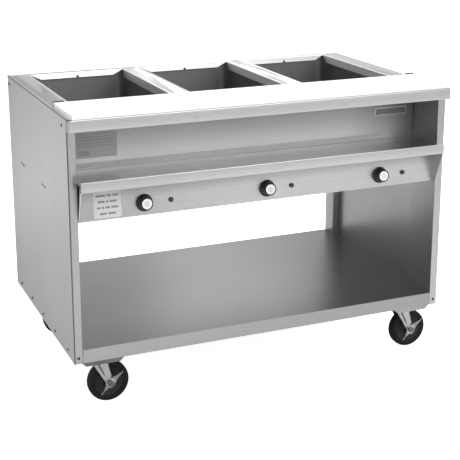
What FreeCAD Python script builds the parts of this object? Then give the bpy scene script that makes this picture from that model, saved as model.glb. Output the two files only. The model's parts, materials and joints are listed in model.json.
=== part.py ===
"""Three-well electric steam table on casters.

Frame: +X along the operator's side to the right, +Y towards the serving side, +Z up.
Origin: on the floor, below the middle of the bounding box. The casters trail to the right, so the
right-hand wheels pass the end panel and the whole table is set over by half of that. Millimetres.
"""
import FreeCAD, Part
import math
import os

V = FreeCAD.Vector
INCH = 25.4

# ---------------------------------------------------------------- driving dimensions
LENGTH = 48.0 * INCH
DEPTH = 29.0 * INCH
DECK_Z = 35.25 * INCH
CASTER_HEIGHT = 6.1875 * INCH
BASE_Z = 6.8125 * INCH
SHEET = 1.2
GAP = 0.2
CLEAR = 0.4

# end panels: a one-inch-thick formed sheet with a box post at the back
POST_WIDTH = 1.0 * INCH
FRONT_RETURN = 5.6 * INCH
BACK_RETURN = 2.45 * INCH
TOP_FLANGE = 0.34 * INCH

# top deck, its front fascia and its three die-stamped well openings
FASCIA_HEIGHT = 1.375 * INCH
FASCIA_OUT = 0.9375 * INCH
FASCIA_RETURN = 0.7 * INCH
DECK_REAR_FLANGE = 1.5 * INCH
WELL_PITCH = 15.05 * INCH
WELL_X = (-WELL_PITCH, 0.0, WELL_PITCH)
WELL_NAMES = ("left", "centre", "right")
OPENING_X = 12.4 * INCH
OPENING_Y = 20.2 * INCH
OPENING_FROM_FRONT = 7.35 * INCH
SIDE_FLANGE = 0.88 * INCH
END_FLANGE = 0.62 * INCH
FLANGE_SLOPE = 15.0
FLANGE_TIP = 2.0
FLANGE_END_CUT = 1.35 * INCH
BEAD_WIDTH = 7.0
BEAD_HEIGHT = 1.0
WELL_DEPTH = 6.5 * INCH
WELL_CORNER = 1.25 * INCH
WELL_RIM = 11.0
WELL_SIDE_CLEARANCE = 8.3

# work ledge below the open compartment
LEDGE_OUT = 1.625 * INCH
LEDGE_Z = 28.0 * INCH
LEDGE_LIP_Z = 28.4375 * INCH
LEDGE_APRON_Z = 27.25 * INCH
LEDGE_LIP_THICK = 4.0
LEDGE_BACK_FLANGE = 0.7 * INCH
COMPARTMENT_DEPTH = 5.7 * INCH

# control housing: a nearly upright panel between two flared end wings
PANEL_Z = 23.3 * INCH
PANEL_Y = 0.6 * INCH
PANEL_LEAN = 6.0
PANEL_HALF_BOTTOM = 22.875 * INCH
PANEL_HALF_TOP = 22.4 * INCH
PANEL_RETURN = 0.7 * INCH
WING_FRONT_TOP_Y = -1.5 * INCH
WING_FRONT_BOTTOM_Z = 23.5 * INCH
CONTROL_PITCH = 15.25 * INCH
CONTROL_OFFSET = 0.15 * INCH
CONTROL_UP = 1.46 * INCH
PILOT_OFFSET = 3.2 * INCH

# control knobs and infinite switches
KNOB_SKIRT_R = 1.0 * INCH
KNOB_BODY_R = 0.86 * INCH
KNOB_TOP_R = 0.77 * INCH
KNOB_HEIGHT = 1.03 * INCH
KNOB_SKIRT_THICK = 3.2
KNOB_STANDOFF = 1.2
KNOB_INSERT_R = 0.6 * INCH
SHAFT_R = 3.0
SHAFT_FIT = 0.05
BUSHING_R = 4.7
SWITCH_SIZE = 33.0
SWITCH_DEPTH = 30.0
PILOT_R = 7.5

# cutting board
BOARD_HALF = 23.55 * INCH
BOARD_FRONT = -0.85 * INCH
BOARD_WIDTH = 7.75 * INCH
BOARD_THICK = 0.5 * INCH
STOP_PROUD = 4.5

# undershelf and the two caster channels
SHELF_Z = 8.4375 * INCH
SHELF_REAR_INSET = 0.2 * INCH
SHELF_RETURN = 1.0 * INCH
CHANNEL_X = 20.55 * INCH
CHANNEL_BOTTOM = 4.0 * INCH
CHANNEL_SLOPE = 0.6 * INCH
CHANNEL_FLANGE = 0.3 * INCH
CHANNEL_INSET = 0.3 * INCH

# five-inch swivel casters
CASTER_INSET = 3.7 * INCH
WHEEL_R = 2.5 * INCH
WHEEL_WIDTH = 1.25 * INCH
HUB_WIDTH = 1.4 * INCH
CASTER_TRAIL = 1.45 * INCH
FORK_SHEET = 3.0
AXLE_R = 6.35
AXLE_FIT = 0.05
PLATE_X = 3.5 * INCH
PLATE_Y = 4.0 * INCH
PLATE_THICK = 3.4
PLATE_BOLT_X = 2.75 * INCH
PLATE_BOLT_Y = 3.2 * INCH
BOLT_R = 4.0
KINGPIN_R = 6.0
BRAKE_SHEET = 3.0
BRAKE_HUB_R = 15.0
BRAKE_ARMS = ((-133.0, 32.0, 54.0, 6.0), (42.0, 34.0, 46.0, 9.0))
RACE_R = 29.0
RACE_THICK = 7.0

# pan-head screws
SCREW_HEAD_R = 4.2
SCREW_HEAD = 1.9

# derived planes
HALF = LENGTH / 2
Y_FRONT = LEDGE_OUT - (DEPTH + LEDGE_OUT) / 2
Y_BACK = Y_FRONT + DEPTH
INNER_HALF = HALF - POST_WIDTH - GAP
SKIN_HALF = HALF - SHEET - GAP
DECK_UNDER = DECK_Z - SHEET - GAP
FASCIA_Y = Y_FRONT - FASCIA_OUT
WELL_Y0 = Y_FRONT + OPENING_FROM_FRONT
WELL_Y1 = WELL_Y0 + OPENING_Y
WELL_MID_Y = (WELL_Y0 + WELL_Y1) / 2
WALL_Y = Y_FRONT + COMPARTMENT_DEPTH
LINER_BOTTOM = DECK_Z - WELL_DEPTH
TRAY_Z = PANEL_Z + SHEET + GAP
LEAN = math.radians(PANEL_LEAN)
WHEEL_PAST_END = CHANNEL_X + CASTER_TRAIL + WHEEL_R - HALF
SET_OVER = V(-(WHEEL_PAST_END - SCREW_HEAD) / 2, 0, 0)

os.makedirs("parts", exist_ok=True)
shapes = {}


# ---------------------------------------------------------------- helpers
def box(x0, x1, y0, y1, z0, z1):
    return Part.makeBox(x1 - x0, y1 - y0, z1 - z0, V(x0, y0, z0))


def cylinder(start, axis, radius, height):
    return Part.makeCylinder(radius, height, V(*start), V(*axis))


def prism(points, direction):
    wire = Part.makePolygon([V(*p) for p in points + points[:1]])
    return Part.Face(wire).extrude(V(*direction))


def hexagon(start, axis, across, height):
    radius = across / math.sqrt(3)
    ring = [(radius * math.cos(math.pi * k / 3), radius * math.sin(math.pi * k / 3), 0) for k in range(6)]
    solid = prism(ring, (0, 0, height))
    turn = FreeCAD.Rotation(V(0, 0, 1), V(*axis))
    solid.Placement = FreeCAD.Placement(V(*start), turn)
    return solid


def turned(profile, start, axis):
    """A solid of revolution: profile holds (radius, height) pairs, height measured from start along axis."""
    wire = Part.makePolygon([V(r, 0, h) for r, h in profile + profile[:1]])
    solid = Part.Face(wire).revolve(V(0, 0, 0), V(0, 0, 1), 360)
    solid.Placement = FreeCAD.Placement(V(*start), FreeCAD.Rotation(V(0, 0, 1), V(*axis)))
    return solid


def fuse(pieces):
    solid = pieces[0].multiFuse(pieces[1:]) if len(pieces) > 1 else pieces[0]
    return solid.removeSplitter()


def mirrored(shape):
    return shape.mirror(V(0, 0, 0), V(1, 0, 0))


def keep(name, shape):
    shapes[name] = shape


def panel_point(x, up, out):
    """A point on the control panel: up its face from the bottom edge, and out towards the operator."""
    y = Y_FRONT + PANEL_Y + up * math.sin(LEAN) - out * math.cos(LEAN)
    z = PANEL_Z + up * math.cos(LEAN) + out * math.sin(LEAN)
    return (x, y, z)


PANEL_OUT = (0, -math.cos(LEAN), math.sin(LEAN))
PANEL_IN = (0, math.cos(LEAN), -math.sin(LEAN))
CONTROL_X = [CONTROL_OFFSET + k * CONTROL_PITCH for k in (-1, 0, 1)]


# ---------------------------------------------------------------- end panels
def end_panel_left():
    skin = prism(
        [
            (-HALF, Y_FRONT, BASE_Z),
            (-HALF, Y_FRONT, DECK_Z - FASCIA_HEIGHT),
            (-HALF, FASCIA_Y, DECK_Z - FASCIA_HEIGHT),
            (-HALF, FASCIA_Y, DECK_Z),
            (-HALF, Y_BACK, DECK_Z),
            (-HALF, Y_BACK, BASE_Z),
        ],
        (SHEET, 0, 0),
    )
    inner = -HALF + POST_WIDTH
    under = DECK_UNDER
    post_y = Y_BACK - BACK_RETURN
    pieces = [
        skin,
        box(-HALF, -HALF + TOP_FLANGE, FASCIA_Y + SHEET + GAP, Y_BACK, DECK_Z - SHEET, DECK_Z),
        box(-HALF, inner, Y_FRONT, Y_FRONT + SHEET, BASE_Z, under),
        box(inner - SHEET, inner, Y_FRONT, Y_FRONT + FRONT_RETURN, BASE_Z, under),
        box(-HALF, inner, Y_BACK - SHEET, Y_BACK, BASE_Z, under),
        box(inner - SHEET, inner, post_y, Y_BACK, BASE_Z, under),
        box(-HALF, inner, post_y, post_y + SHEET, BASE_Z, under),
    ]
    return fuse(pieces)


# ---------------------------------------------------------------- top deck
def opening_flanges(cx):
    """The four flanges of one opening, sloping inward, each cut back on a slant at its corners."""
    half_x = OPENING_X / 2
    half_y = OPENING_Y / 2
    top = DECK_Z
    cut = FLANGE_END_CUT
    y0 = WELL_MID_Y - half_y
    y1 = WELL_MID_Y + half_y
    x0 = cx - half_x
    x1 = cx + half_x
    slope = math.tan(math.radians(FLANGE_SLOPE))
    flanges = []
    for side in (-1, 1):
        x = cx + side * half_x
        low = top - SIDE_FLANGE
        foot = x - side * SIDE_FLANGE * slope
        near = y0 + FLANGE_TIP
        far = y1 - FLANGE_TIP
        outline = [(x, near, top), (foot, y0 + cut, low), (foot, y1 - cut, low), (x, far, top)]
        flanges.append(prism(outline, (side * SHEET, 0, 0)))
        y = WELL_MID_Y + side * half_y
        low = top - END_FLANGE
        foot = y - side * END_FLANGE * slope
        near = x0 + FLANGE_TIP
        far = x1 - FLANGE_TIP
        outline = [(near, y, top), (x0 + cut, foot, low), (x1 - cut, foot, low), (far, y, top)]
        flanges.append(prism(outline, (0, side * SHEET, 0)))
    return flanges


def opening_bead(cx):
    half_x = OPENING_X / 2
    half_y = OPENING_Y / 2
    outer = box(
        cx - half_x - BEAD_WIDTH,
        cx + half_x + BEAD_WIDTH,
        WELL_MID_Y - half_y - BEAD_WIDTH,
        WELL_MID_Y + half_y + BEAD_WIDTH,
        DECK_Z - SHEET / 2,
        DECK_Z + BEAD_HEIGHT,
    )
    return outer


def top_deck():
    half = HALF - TOP_FLANGE - GAP
    pieces = [
        box(-half, half, FASCIA_Y, Y_BACK, DECK_Z - SHEET, DECK_Z),
        box(-SKIN_HALF, SKIN_HALF, FASCIA_Y, FASCIA_Y + SHEET, DECK_Z - FASCIA_HEIGHT, DECK_Z),
        box(
            -SKIN_HALF,
            SKIN_HALF,
            FASCIA_Y,
            FASCIA_Y + FASCIA_RETURN,
            DECK_Z - FASCIA_HEIGHT,
            DECK_Z - FASCIA_HEIGHT + SHEET,
        ),
        box(-INNER_HALF, INNER_HALF, Y_BACK - SHEET, Y_BACK, DECK_Z - DECK_REAR_FLANGE, DECK_Z),
    ]
    for cx in WELL_X:
        pieces.append(opening_bead(cx))
    deck = fuse(pieces)
    for cx in WELL_X:
        hole = box(
            cx - OPENING_X / 2,
            cx + OPENING_X / 2,
            WELL_Y0,
            WELL_Y1,
            DECK_Z - 3 * SHEET,
            DECK_Z + 3 * BEAD_HEIGHT,
        )
        deck = deck.cut(hole)
    flanges = []
    for cx in WELL_X:
        flanges.extend(opening_flanges(cx))
    return fuse([deck] + flanges)


# ---------------------------------------------------------------- wells
def rounded_block(cx, half_x, half_y, radius, z0, z1):
    block = box(cx - half_x, cx + half_x, WELL_MID_Y - half_y, WELL_MID_Y + half_y, z0, z1)
    upright = [e for e in block.Edges if abs(e.Vertexes[0].Z - e.Vertexes[1].Z) > 1]
    return block.makeFillet(radius, upright)


def well_liner(cx):
    half_x = OPENING_X / 2 + SHEET + WELL_SIDE_CLEARANCE
    half_y = OPENING_Y / 2 + SHEET + WELL_SIDE_CLEARANCE
    top = DECK_UNDER
    shell = rounded_block(cx, half_x + SHEET, half_y + SHEET, WELL_CORNER + SHEET, LINER_BOTTOM, top)
    rim = box(
        cx - half_x - WELL_RIM,
        cx + half_x + WELL_RIM,
        WELL_MID_Y - half_y - WELL_RIM,
        WELL_MID_Y + half_y + WELL_RIM,
        top - SHEET,
        top,
    )
    cavity = rounded_block(cx, half_x, half_y, WELL_CORNER, LINER_BOTTOM + SHEET, top + 1)
    return fuse([shell, rim]).cut(cavity)


ELEMENT_R = 4.0
ELEMENT_LEG_X = 2.5 * INCH
ELEMENT_LEG = 13.0 * INCH
ELEMENT_LEGS = 4


def heating_element(cx):
    """A tubular element under the well: four legs joined by half rings, both ends at the front."""
    z = LINER_BOTTOM - ELEMENT_R - GAP
    y0 = WELL_MID_Y - ELEMENT_LEG / 2
    y1 = WELL_MID_Y + ELEMENT_LEG / 2
    first = cx - ELEMENT_LEG_X * (ELEMENT_LEGS - 1) / 2
    pieces = []
    for k in range(ELEMENT_LEGS):
        pieces.append(cylinder((first + k * ELEMENT_LEG_X, y0, z), (0, 1, 0), ELEMENT_R, ELEMENT_LEG))
    for k in range(ELEMENT_LEGS - 1):
        bend_x = first + (k + 0.5) * ELEMENT_LEG_X
        bend_y, start = (y1, 0) if k % 2 == 0 else (y0, 180)
        bend = Part.makeTorus(ELEMENT_LEG_X / 2, ELEMENT_R, V(0, 0, 0), V(0, 0, 1), -180, 180, 180)
        turn = FreeCAD.Rotation(V(0, 0, 1), start)
        bend.Placement = FreeCAD.Placement(V(bend_x, bend_y, z), turn)
        pieces.append(bend)
    return fuse(pieces)


# ---------------------------------------------------------------- compartment and ledge
def compartment_back():
    wall = box(-INNER_HALF, INNER_HALF, WALL_Y, WALL_Y + SHEET, LEDGE_Z - 3 * SHEET, DECK_UNDER)
    top = box(-INNER_HALF, INNER_HALF, WALL_Y, WALL_Y + 0.75 * INCH, DECK_UNDER - SHEET, DECK_UNDER)
    return fuse([wall, top])


def ledge_shelf():
    front = Y_FRONT - LEDGE_OUT
    back = WALL_Y - GAP
    h = INNER_HALF
    return fuse(
        [
            box(-h, h, front, back, LEDGE_Z - SHEET, LEDGE_Z),
            box(-h, h, front, front + SHEET, LEDGE_APRON_Z, LEDGE_LIP_Z),
            box(-h, h, front, front + LEDGE_LIP_THICK, LEDGE_Z - SHEET, LEDGE_LIP_Z),
            box(-h, h, front, front + 0.75 * INCH, LEDGE_APRON_Z, LEDGE_APRON_Z + SHEET),
            box(-h, h, back - SHEET, back, LEDGE_Z - SHEET, LEDGE_Z + LEDGE_BACK_FLANGE),
        ]
    )


# ---------------------------------------------------------------- control housing
PANEL_TOP_UP = (LEDGE_Z - SHEET - GAP - PANEL_Z) / math.cos(LEAN) - SHEET


def control_panel():
    corners = [
        panel_point(-PANEL_HALF_BOTTOM, 0, 0),
        panel_point(PANEL_HALF_BOTTOM, 0, 0),
        panel_point(PANEL_HALF_TOP, PANEL_TOP_UP, 0),
        panel_point(-PANEL_HALF_TOP, PANEL_TOP_UP, 0),
    ]
    inward = tuple(c * SHEET for c in PANEL_IN)
    face = prism(corners, inward)
    y0 = Y_FRONT + PANEL_Y
    bottom = box(-PANEL_HALF_BOTTOM, PANEL_HALF_BOTTOM, y0, y0 + PANEL_RETURN, PANEL_Z, PANEL_Z + SHEET)
    panel = fuse([face, bottom])
    for x in CONTROL_X:
        panel = panel.cut(cylinder(panel_point(x, CONTROL_UP, 5), PANEL_IN, BUSHING_R + 0.1, 12))
        panel = panel.cut(cylinder(panel_point(x + PILOT_OFFSET, CONTROL_UP, 5), PANEL_IN, PILOT_R - 1.4, 12))
    return panel


def control_end_left():
    """The flared wing that closes the left end of the control housing and carries the ledge."""
    top = LEDGE_APRON_Z - GAP
    top_up = (top - PANEL_Z) / math.cos(LEAN)
    slope = (PANEL_HALF_BOTTOM - PANEL_HALF_TOP) / PANEL_TOP_UP
    top_back = panel_point(-(PANEL_HALF_BOTTOM - slope * top_up) - GAP, top_up, 0)
    bottom_back = panel_point(-PANEL_HALF_BOTTOM - GAP, 0, 0)
    outer = -INNER_HALF + SHEET
    outline = [
        bottom_back,
        (outer, Y_FRONT, WING_FRONT_BOTTOM_Z),
        (outer, Y_FRONT + WING_FRONT_TOP_Y, top),
        top_back,
    ]
    a, b, c = (V(*outline[k]) for k in (1, 2, 3))
    normal = (b - a).cross(c - a)
    normal.normalize()
    if normal.x > 0:
        normal = normal * -1
    back = V(*outline[0])
    back = back - normal * (back - a).dot(normal)
    outline[0] = (back.x, back.y, back.z)
    return prism(outline, tuple(normal * SHEET))


def housing_bottom():
    """The flat sheet under the wells, notched round the posts."""
    y0 = Y_FRONT + PANEL_Y + SHEET + CLEAR
    y1 = Y_BACK - 3 * SHEET - GAP
    mid0 = Y_FRONT + FRONT_RETURN + CLEAR
    mid1 = Y_BACK - BACK_RETURN - CLEAR
    z = TRAY_Z
    sheet = fuse(
        [
            box(-INNER_HALF, INNER_HALF, y0, y1, z, z + SHEET),
            box(-SKIN_HALF, SKIN_HALF, mid0, mid1, z, z + SHEET),
        ]
    )
    return sheet.cut(cylinder(GLAND_AT + (z - 1,), (0, 0, 1), GLAND_R + 0.1, 4))


def rear_panel():
    y = Y_BACK - 3 * SHEET
    top = DECK_Z - DECK_REAR_FLANGE + 0.5 * INCH
    low = PANEL_Z
    return fuse(
        [
            box(-INNER_HALF, INNER_HALF, y, y + SHEET, low, top),
            box(-INNER_HALF, INNER_HALF, y - 1 * INCH, y + SHEET, low, low + SHEET),
        ]
    )


GLAND_R = 10.0
GLAND_AT = (WELL_PITCH / 2, Y_BACK - 4 * INCH)


def cord_gland():
    """A hollow strain-free gland with its flange under the tray and a lock nut above it."""
    profile = [
        (6.0, -26.0),
        (11.0, -26.0),
        (13.0, -20.0),
        (13.0, -9.0),
        (15.0, -9.0),
        (15.0, -GAP),
        (GLAND_R, -GAP),
        (GLAND_R, SHEET + GAP),
        (14.0, SHEET + GAP),
        (14.0, SHEET + 6.0),
        (6.0, SHEET + 6.0),
    ]
    return turned(profile, GLAND_AT + (TRAY_Z,), (0, 0, 1))


def terminal_block():
    x0 = HALF - 9 * INCH
    y0 = Y_FRONT + 5.9 * INCH
    z0 = TRAY_Z + SHEET + GAP
    base = box(x0, x0 + 78, y0, y0 + 24, z0, z0 + 12)
    pieces = [base]
    for k in range(5):
        wall = x0 + k * 18.6
        pieces.append(box(wall, wall + 3.6, y0, y0 + 24, z0, z0 + 24))
    return fuse(pieces)


# ---------------------------------------------------------------- controls
def infinite_switch(x):
    """Switch case behind the panel, with its threaded bushing through it and the nut in front."""
    back = panel_point(x, CONTROL_UP, -SHEET - GAP)
    case = prism(
        [
            panel_point(x + sx * SWITCH_SIZE / 2, CONTROL_UP + su * SWITCH_SIZE / 2, -SHEET - GAP)
            for sx, su in ((-1, -1), (1, -1), (1, 1), (-1, 1))
        ],
        tuple(c * SWITCH_DEPTH for c in PANEL_IN),
    )
    bushing = cylinder(back, PANEL_OUT, BUSHING_R, 9.0)
    nut = hexagon(panel_point(x, CONTROL_UP, GAP), PANEL_OUT, 14.0, 2.4)
    blades = []
    for k in (-1, 1):
        for j in (-1, 1):
            tab = [
                panel_point(x + k * 9 + dx, CONTROL_UP + j * 9 + du, -SHEET - SWITCH_DEPTH)
                for dx, du in ((-3, -0.4), (3, -0.4), (3, 0.4), (-3, 0.4))
            ]
            blades.append(prism(tab, tuple(c * 9.0 for c in PANEL_IN)))
    body = fuse([case, bushing, nut] + blades)
    bore = cylinder(panel_point(x, CONTROL_UP, -SHEET - 12), PANEL_OUT, SHAFT_R + SHAFT_FIT, 40)
    return body.cut(bore)


def switch_shaft(x):
    """The D-shaped spindle that the knob turns."""
    start = panel_point(x, CONTROL_UP, -SHEET - 11)
    length = SHEET + 11 + KNOB_STANDOFF + KNOB_HEIGHT - 8
    spindle = cylinder(start, PANEL_OUT, SHAFT_R, length)
    flat = prism(
        [
            panel_point(x + sx * 5, CONTROL_UP + u, 10.0)
            for sx, u in ((-1, SHAFT_R * 0.6), (1, SHAFT_R * 0.6), (1, SHAFT_R * 2), (-1, SHAFT_R * 2))
        ],
        tuple(c * 30.0 for c in PANEL_OUT),
    )
    return spindle.cut(flat)


KNOB_FLUTES = 16
KNOB_FLUTE_R = 1.7


def knob(x):
    """A skirted, fluted control knob, hollow underneath, bored for its spindle."""
    start = panel_point(x, CONTROL_UP, KNOB_STANDOFF)
    profile = [
        (0.0, KNOB_SKIRT_THICK + 6.0),
        (9.5, KNOB_SKIRT_THICK + 6.0),
        (9.5, 0.0),
        (KNOB_SKIRT_R - 1.0, 0.0),
        (KNOB_SKIRT_R, 1.0),
        (KNOB_SKIRT_R, KNOB_SKIRT_THICK - 1.2),
        (KNOB_SKIRT_R - 1.2, KNOB_SKIRT_THICK),
        (KNOB_BODY_R, KNOB_SKIRT_THICK),
        (KNOB_TOP_R, KNOB_HEIGHT - 1.2),
        (KNOB_TOP_R - 1.2, KNOB_HEIGHT),
        (KNOB_INSERT_R, KNOB_HEIGHT),
        (KNOB_INSERT_R, KNOB_HEIGHT - 0.8),
        (0.0, KNOB_HEIGHT - 0.8),
    ]
    body = turned(profile, start, PANEL_OUT)
    flutes = []
    for k in range(KNOB_FLUTES):
        turn = 2 * math.pi * k / KNOB_FLUTES
        radius = KNOB_BODY_R + 0.7
        at = panel_point(x + radius * math.cos(turn), CONTROL_UP + radius * math.sin(turn), KNOB_STANDOFF)
        at = V(*at) + V(*PANEL_OUT) * (KNOB_SKIRT_THICK + 1.0)
        flutes.append(Part.makeCylinder(KNOB_FLUTE_R, KNOB_HEIGHT, at, V(*PANEL_OUT)))
    body = body.cut(Part.makeCompound(flutes))
    bore = cylinder(start, PANEL_OUT, SHAFT_R, KNOB_HEIGHT - 8)
    return body.cut(bore)


def pilot_light(x):
    """Indicator lamp: bezel and domed lens in front, lamp body and spring clip collar behind."""
    start = panel_point(x + PILOT_OFFSET, CONTROL_UP, 0)
    profile = [
        (0.0, -24.0),
        (5.0, -24.0),
        (5.0, -12.0),
        (PILOT_R - 1.6, -12.0),
        (PILOT_R - 1.6, GAP),
        (PILOT_R, GAP),
        (PILOT_R, 2.2),
        (PILOT_R - 1.2, 3.0),
        (PILOT_R - 2.0, 7.5),
        (PILOT_R - 4.0, 9.5),
        (0.0, 10.2),
    ]
    return turned(profile, start, PANEL_OUT)


# ---------------------------------------------------------------- cutting board
def cutting_board():
    y0 = Y_FRONT + BOARD_FRONT
    z0 = DECK_Z + CLEAR
    board = box(-BOARD_HALF, BOARD_HALF, y0, y0 + BOARD_WIDTH, z0, z0 + BOARD_THICK)
    return board.makeFillet(1.5, board.Edges)


def board_bracket_left():
    """The stop behind one end of the board: a foot on the deck and a leg that stands proud of the board."""
    y = Y_FRONT + BOARD_FRONT + BOARD_WIDTH + CLEAR
    x0 = -HALF + TOP_FLANGE + 2.0
    x1 = x0 + 1.25 * INCH
    leg = box(x0, x1, y, y + 1.5, DECK_Z + GAP, DECK_Z + BOARD_THICK + STOP_PROUD)
    foot = box(x0, x1, y, y + 0.45 * INCH, DECK_Z + GAP, DECK_Z + GAP + 1.5)
    return fuse([leg, foot])


# ---------------------------------------------------------------- undershelf and channels
def undershelf():
    y0 = Y_FRONT
    y1 = Y_BACK - SHELF_REAR_INSET
    mid0 = Y_FRONT + FRONT_RETURN + CLEAR
    mid1 = Y_BACK - BACK_RETURN - CLEAR
    z = SHELF_Z
    h = INNER_HALF
    pieces = [
        box(-h, h, y0, y1, z - SHEET, z),
        box(-SKIN_HALF, SKIN_HALF, mid0, mid1, z - SHEET, z),
        box(-h, h, y0, y0 + SHEET, BASE_Z, z),
        box(-h, h, y1 - SHEET, y1, BASE_Z, z),
        box(-h, h, y0, y0 + SHELF_RETURN, BASE_Z, BASE_Z + SHEET),
        box(-h, h, y1 - SHELF_RETURN, y1, BASE_Z, BASE_Z + SHEET),
    ]
    for side in (-1, 1):
        x = sorted((side * SKIN_HALF, side * (SKIN_HALF - SHEET)))
        pieces.append(box(x[0], x[1], mid0, mid1, BASE_Z, z))
    return fuse(pieces)


def caster_channel(side):
    """A shallow hat channel under the shelf, front to back, closed at its ends, that carries two casters."""
    cx = side * CHANNEL_X
    half = CHANNEL_BOTTOM / 2
    t = 2.0
    top = BASE_Z - GAP
    low = CASTER_HEIGHT
    wide = half + CHANNEL_SLOPE
    outline = [
        (cx - wide - CHANNEL_FLANGE, top),
        (cx - wide - CHANNEL_FLANGE, top - t),
        (cx - wide, top - t),
        (cx - half, low),
        (cx + half, low),
        (cx + wide, top - t),
        (cx + wide + CHANNEL_FLANGE, top - t),
        (cx + wide + CHANNEL_FLANGE, top),
        (cx + wide - t / 2, top),
        (cx + half - t / 2, low + t),
        (cx - half + t / 2, low + t),
        (cx - wide + t / 2, top),
    ]
    y0 = Y_FRONT + CHANNEL_INSET
    y1 = Y_BACK - SHELF_REAR_INSET - CHANNEL_INSET
    channel = prism([(x, y0, z) for x, z in outline], (0, y1 - y0, 0))
    end = [(cx - wide, top - t), (cx - half, low), (cx + half, low), (cx + wide, top - t)]
    caps = [prism([(x, y, z) for x, z in end], (0, t, 0)) for y in (y0, y1 - t)]
    return fuse([channel] + caps)


# ---------------------------------------------------------------- casters
CASTERS = {
    "front_left": (-CHANNEL_X, Y_FRONT + CASTER_INSET),
    "front_right": (CHANNEL_X, Y_FRONT + CASTER_INSET),
    "rear_left": (-CHANNEL_X, Y_BACK - CASTER_INSET),
    "rear_right": (CHANNEL_X, Y_BACK - CASTER_INSET),
}
RACE_Z = CASTER_HEIGHT - PLATE_THICK - RACE_THICK
LEG_Y = HUB_WIDTH / 2 + 1.0


def caster_plate(cx, cy):
    """Mounting plate with its bearing race and king pin, which the fork turns on."""
    plate = box(
        cx - PLATE_X / 2,
        cx + PLATE_X / 2,
        cy - PLATE_Y / 2,
        cy + PLATE_Y / 2,
        CASTER_HEIGHT - PLATE_THICK - GAP,
        CASTER_HEIGHT - GAP,
    )
    upright = [e for e in plate.Edges if abs(e.Vertexes[0].Z - e.Vertexes[1].Z) > 1]
    plate = plate.makeFillet(8.0, upright)
    race = turned(
        [
            (0.0, 0.0),
            (RACE_R - 2.0, 0.0),
            (RACE_R, 2.5),
            (RACE_R - 3.0, RACE_THICK),
            (0.0, RACE_THICK),
        ],
        (cx, cy, RACE_Z - GAP),
        (0, 0, 1),
    )
    pin = cylinder((cx, cy, RACE_Z - 11.0), (0, 0, 1), KINGPIN_R, 12.0)
    head = cylinder((cx, cy, RACE_Z - 14.0), (0, 0, 1), KINGPIN_R + 3.5, 4.0)
    solid = fuse([plate, race, pin, head])
    for sx in (-1, 1):
        for sy in (-1, 1):
            at = (cx + sx * PLATE_BOLT_X / 2, cy + sy * PLATE_BOLT_Y / 2, CASTER_HEIGHT - 10)
            solid = solid.cut(cylinder(at, (0, 0, 1), BOLT_R + 0.1, 20))
    return solid


FORK_TOP_R = 30.0
FORK_LEAD = 23.0
FORK_TAIL = 25.0
FORK_CROWN = 4.0
FORK_RIB = 2.2


def caster_fork(cx, cy):
    """Swivel fork: a crown round the king pin and two raked legs down to the axle."""
    top = RACE_Z - GAP - 0.5
    ax = cx + CASTER_TRAIL
    crown = turned(
        [
            (KINGPIN_R + 0.05, 0.0),
            (FORK_TOP_R - 1.0, 0.0),
            (FORK_TOP_R, 1.0),
            (FORK_TOP_R, FORK_CROWN),
            (KINGPIN_R + 0.05, FORK_CROWN),
        ],
        (cx, cy, top - FORK_CROWN),
        (0, 0, 1),
    )
    pieces = [crown]
    for side in (-1, 1):
        y = cy + side * LEG_Y
        outline = [
            (cx - FORK_LEAD, y, top - 0.3),
            (cx + FORK_TAIL, y, top - 0.3),
            (ax + 13.0, y, WHEEL_R + 6.0),
            (ax + 12.0, y, WHEEL_R - 8.0),
            (ax + 5.0, y, WHEEL_R - 13.0),
            (ax - 5.0, y, WHEEL_R - 13.0),
            (ax - 12.0, y, WHEEL_R - 8.0),
        ]
        pieces.append(prism(outline, (0, side * FORK_SHEET, 0)))
        outer = y + side * FORK_SHEET
        ridge = [
            (cx + 2.0, outer, top - 3.0),
            (cx + 16.0, outer, top - 3.0),
            (ax + 5.0, outer, WHEEL_R + 16.0),
            (ax - 7.0, outer, WHEEL_R + 16.0),
        ]
        pieces.append(prism(ridge, (0, side * FORK_RIB, 0)))
        pieces.append(cylinder((ax, outer, WHEEL_R), (0, side, 0), BRAKE_HUB_R - 4.0, FORK_RIB))
        shelf_y = sorted((cy + side * 12.0, y + side * FORK_SHEET))
        shelf_z = (top - FORK_SHEET - 0.3, top - 0.3)
        pieces.append(box(cx - FORK_LEAD, cx + FORK_TAIL, *shelf_y, *shelf_z))
    body = fuse(pieces)
    clearance = turned(
        [(0.0, -20.0), (KINGPIN_R + 4.2, -20.0), (KINGPIN_R + 4.2, 0.0), (0.0, 0.0)],
        (cx, cy, top - FORK_CROWN),
        (0, 0, 1),
    )
    body = body.cut(clearance)
    body = body.cut(cylinder((cx, cy, top - 30), (0, 0, 1), KINGPIN_R + 0.05, 60))
    bore = cylinder((ax, cy - 60, WHEEL_R), (0, 1, 0), AXLE_R + AXLE_FIT, 120)
    return body.cut(bore)


def caster_wheel(cx, cy):
    """A solid wheel: rounded tread, dished web and a long hub, bored for the axle."""
    half = WHEEL_WIDTH / 2
    hub = HUB_WIDTH / 2
    bore = AXLE_R + AXLE_FIT
    side = [
        (bore, hub),
        (15.0, hub),
        (17.0, hub - 1.2),
        (19.0, half - 4.5),
        (WHEEL_R - 17.0, half - 3.5),
        (WHEEL_R - 14.0, half - 0.6),
        (WHEEL_R - 6.0, half),
        (WHEEL_R - 3.0, half - 1.6),
        (WHEEL_R - 0.8, half - 5.0),
        (WHEEL_R, half - 8.5),
    ]
    profile = side + [(r, -h) for r, h in reversed(side)]
    return turned(profile, (cx + CASTER_TRAIL, cy, WHEEL_R), (0, 1, 0))


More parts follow.
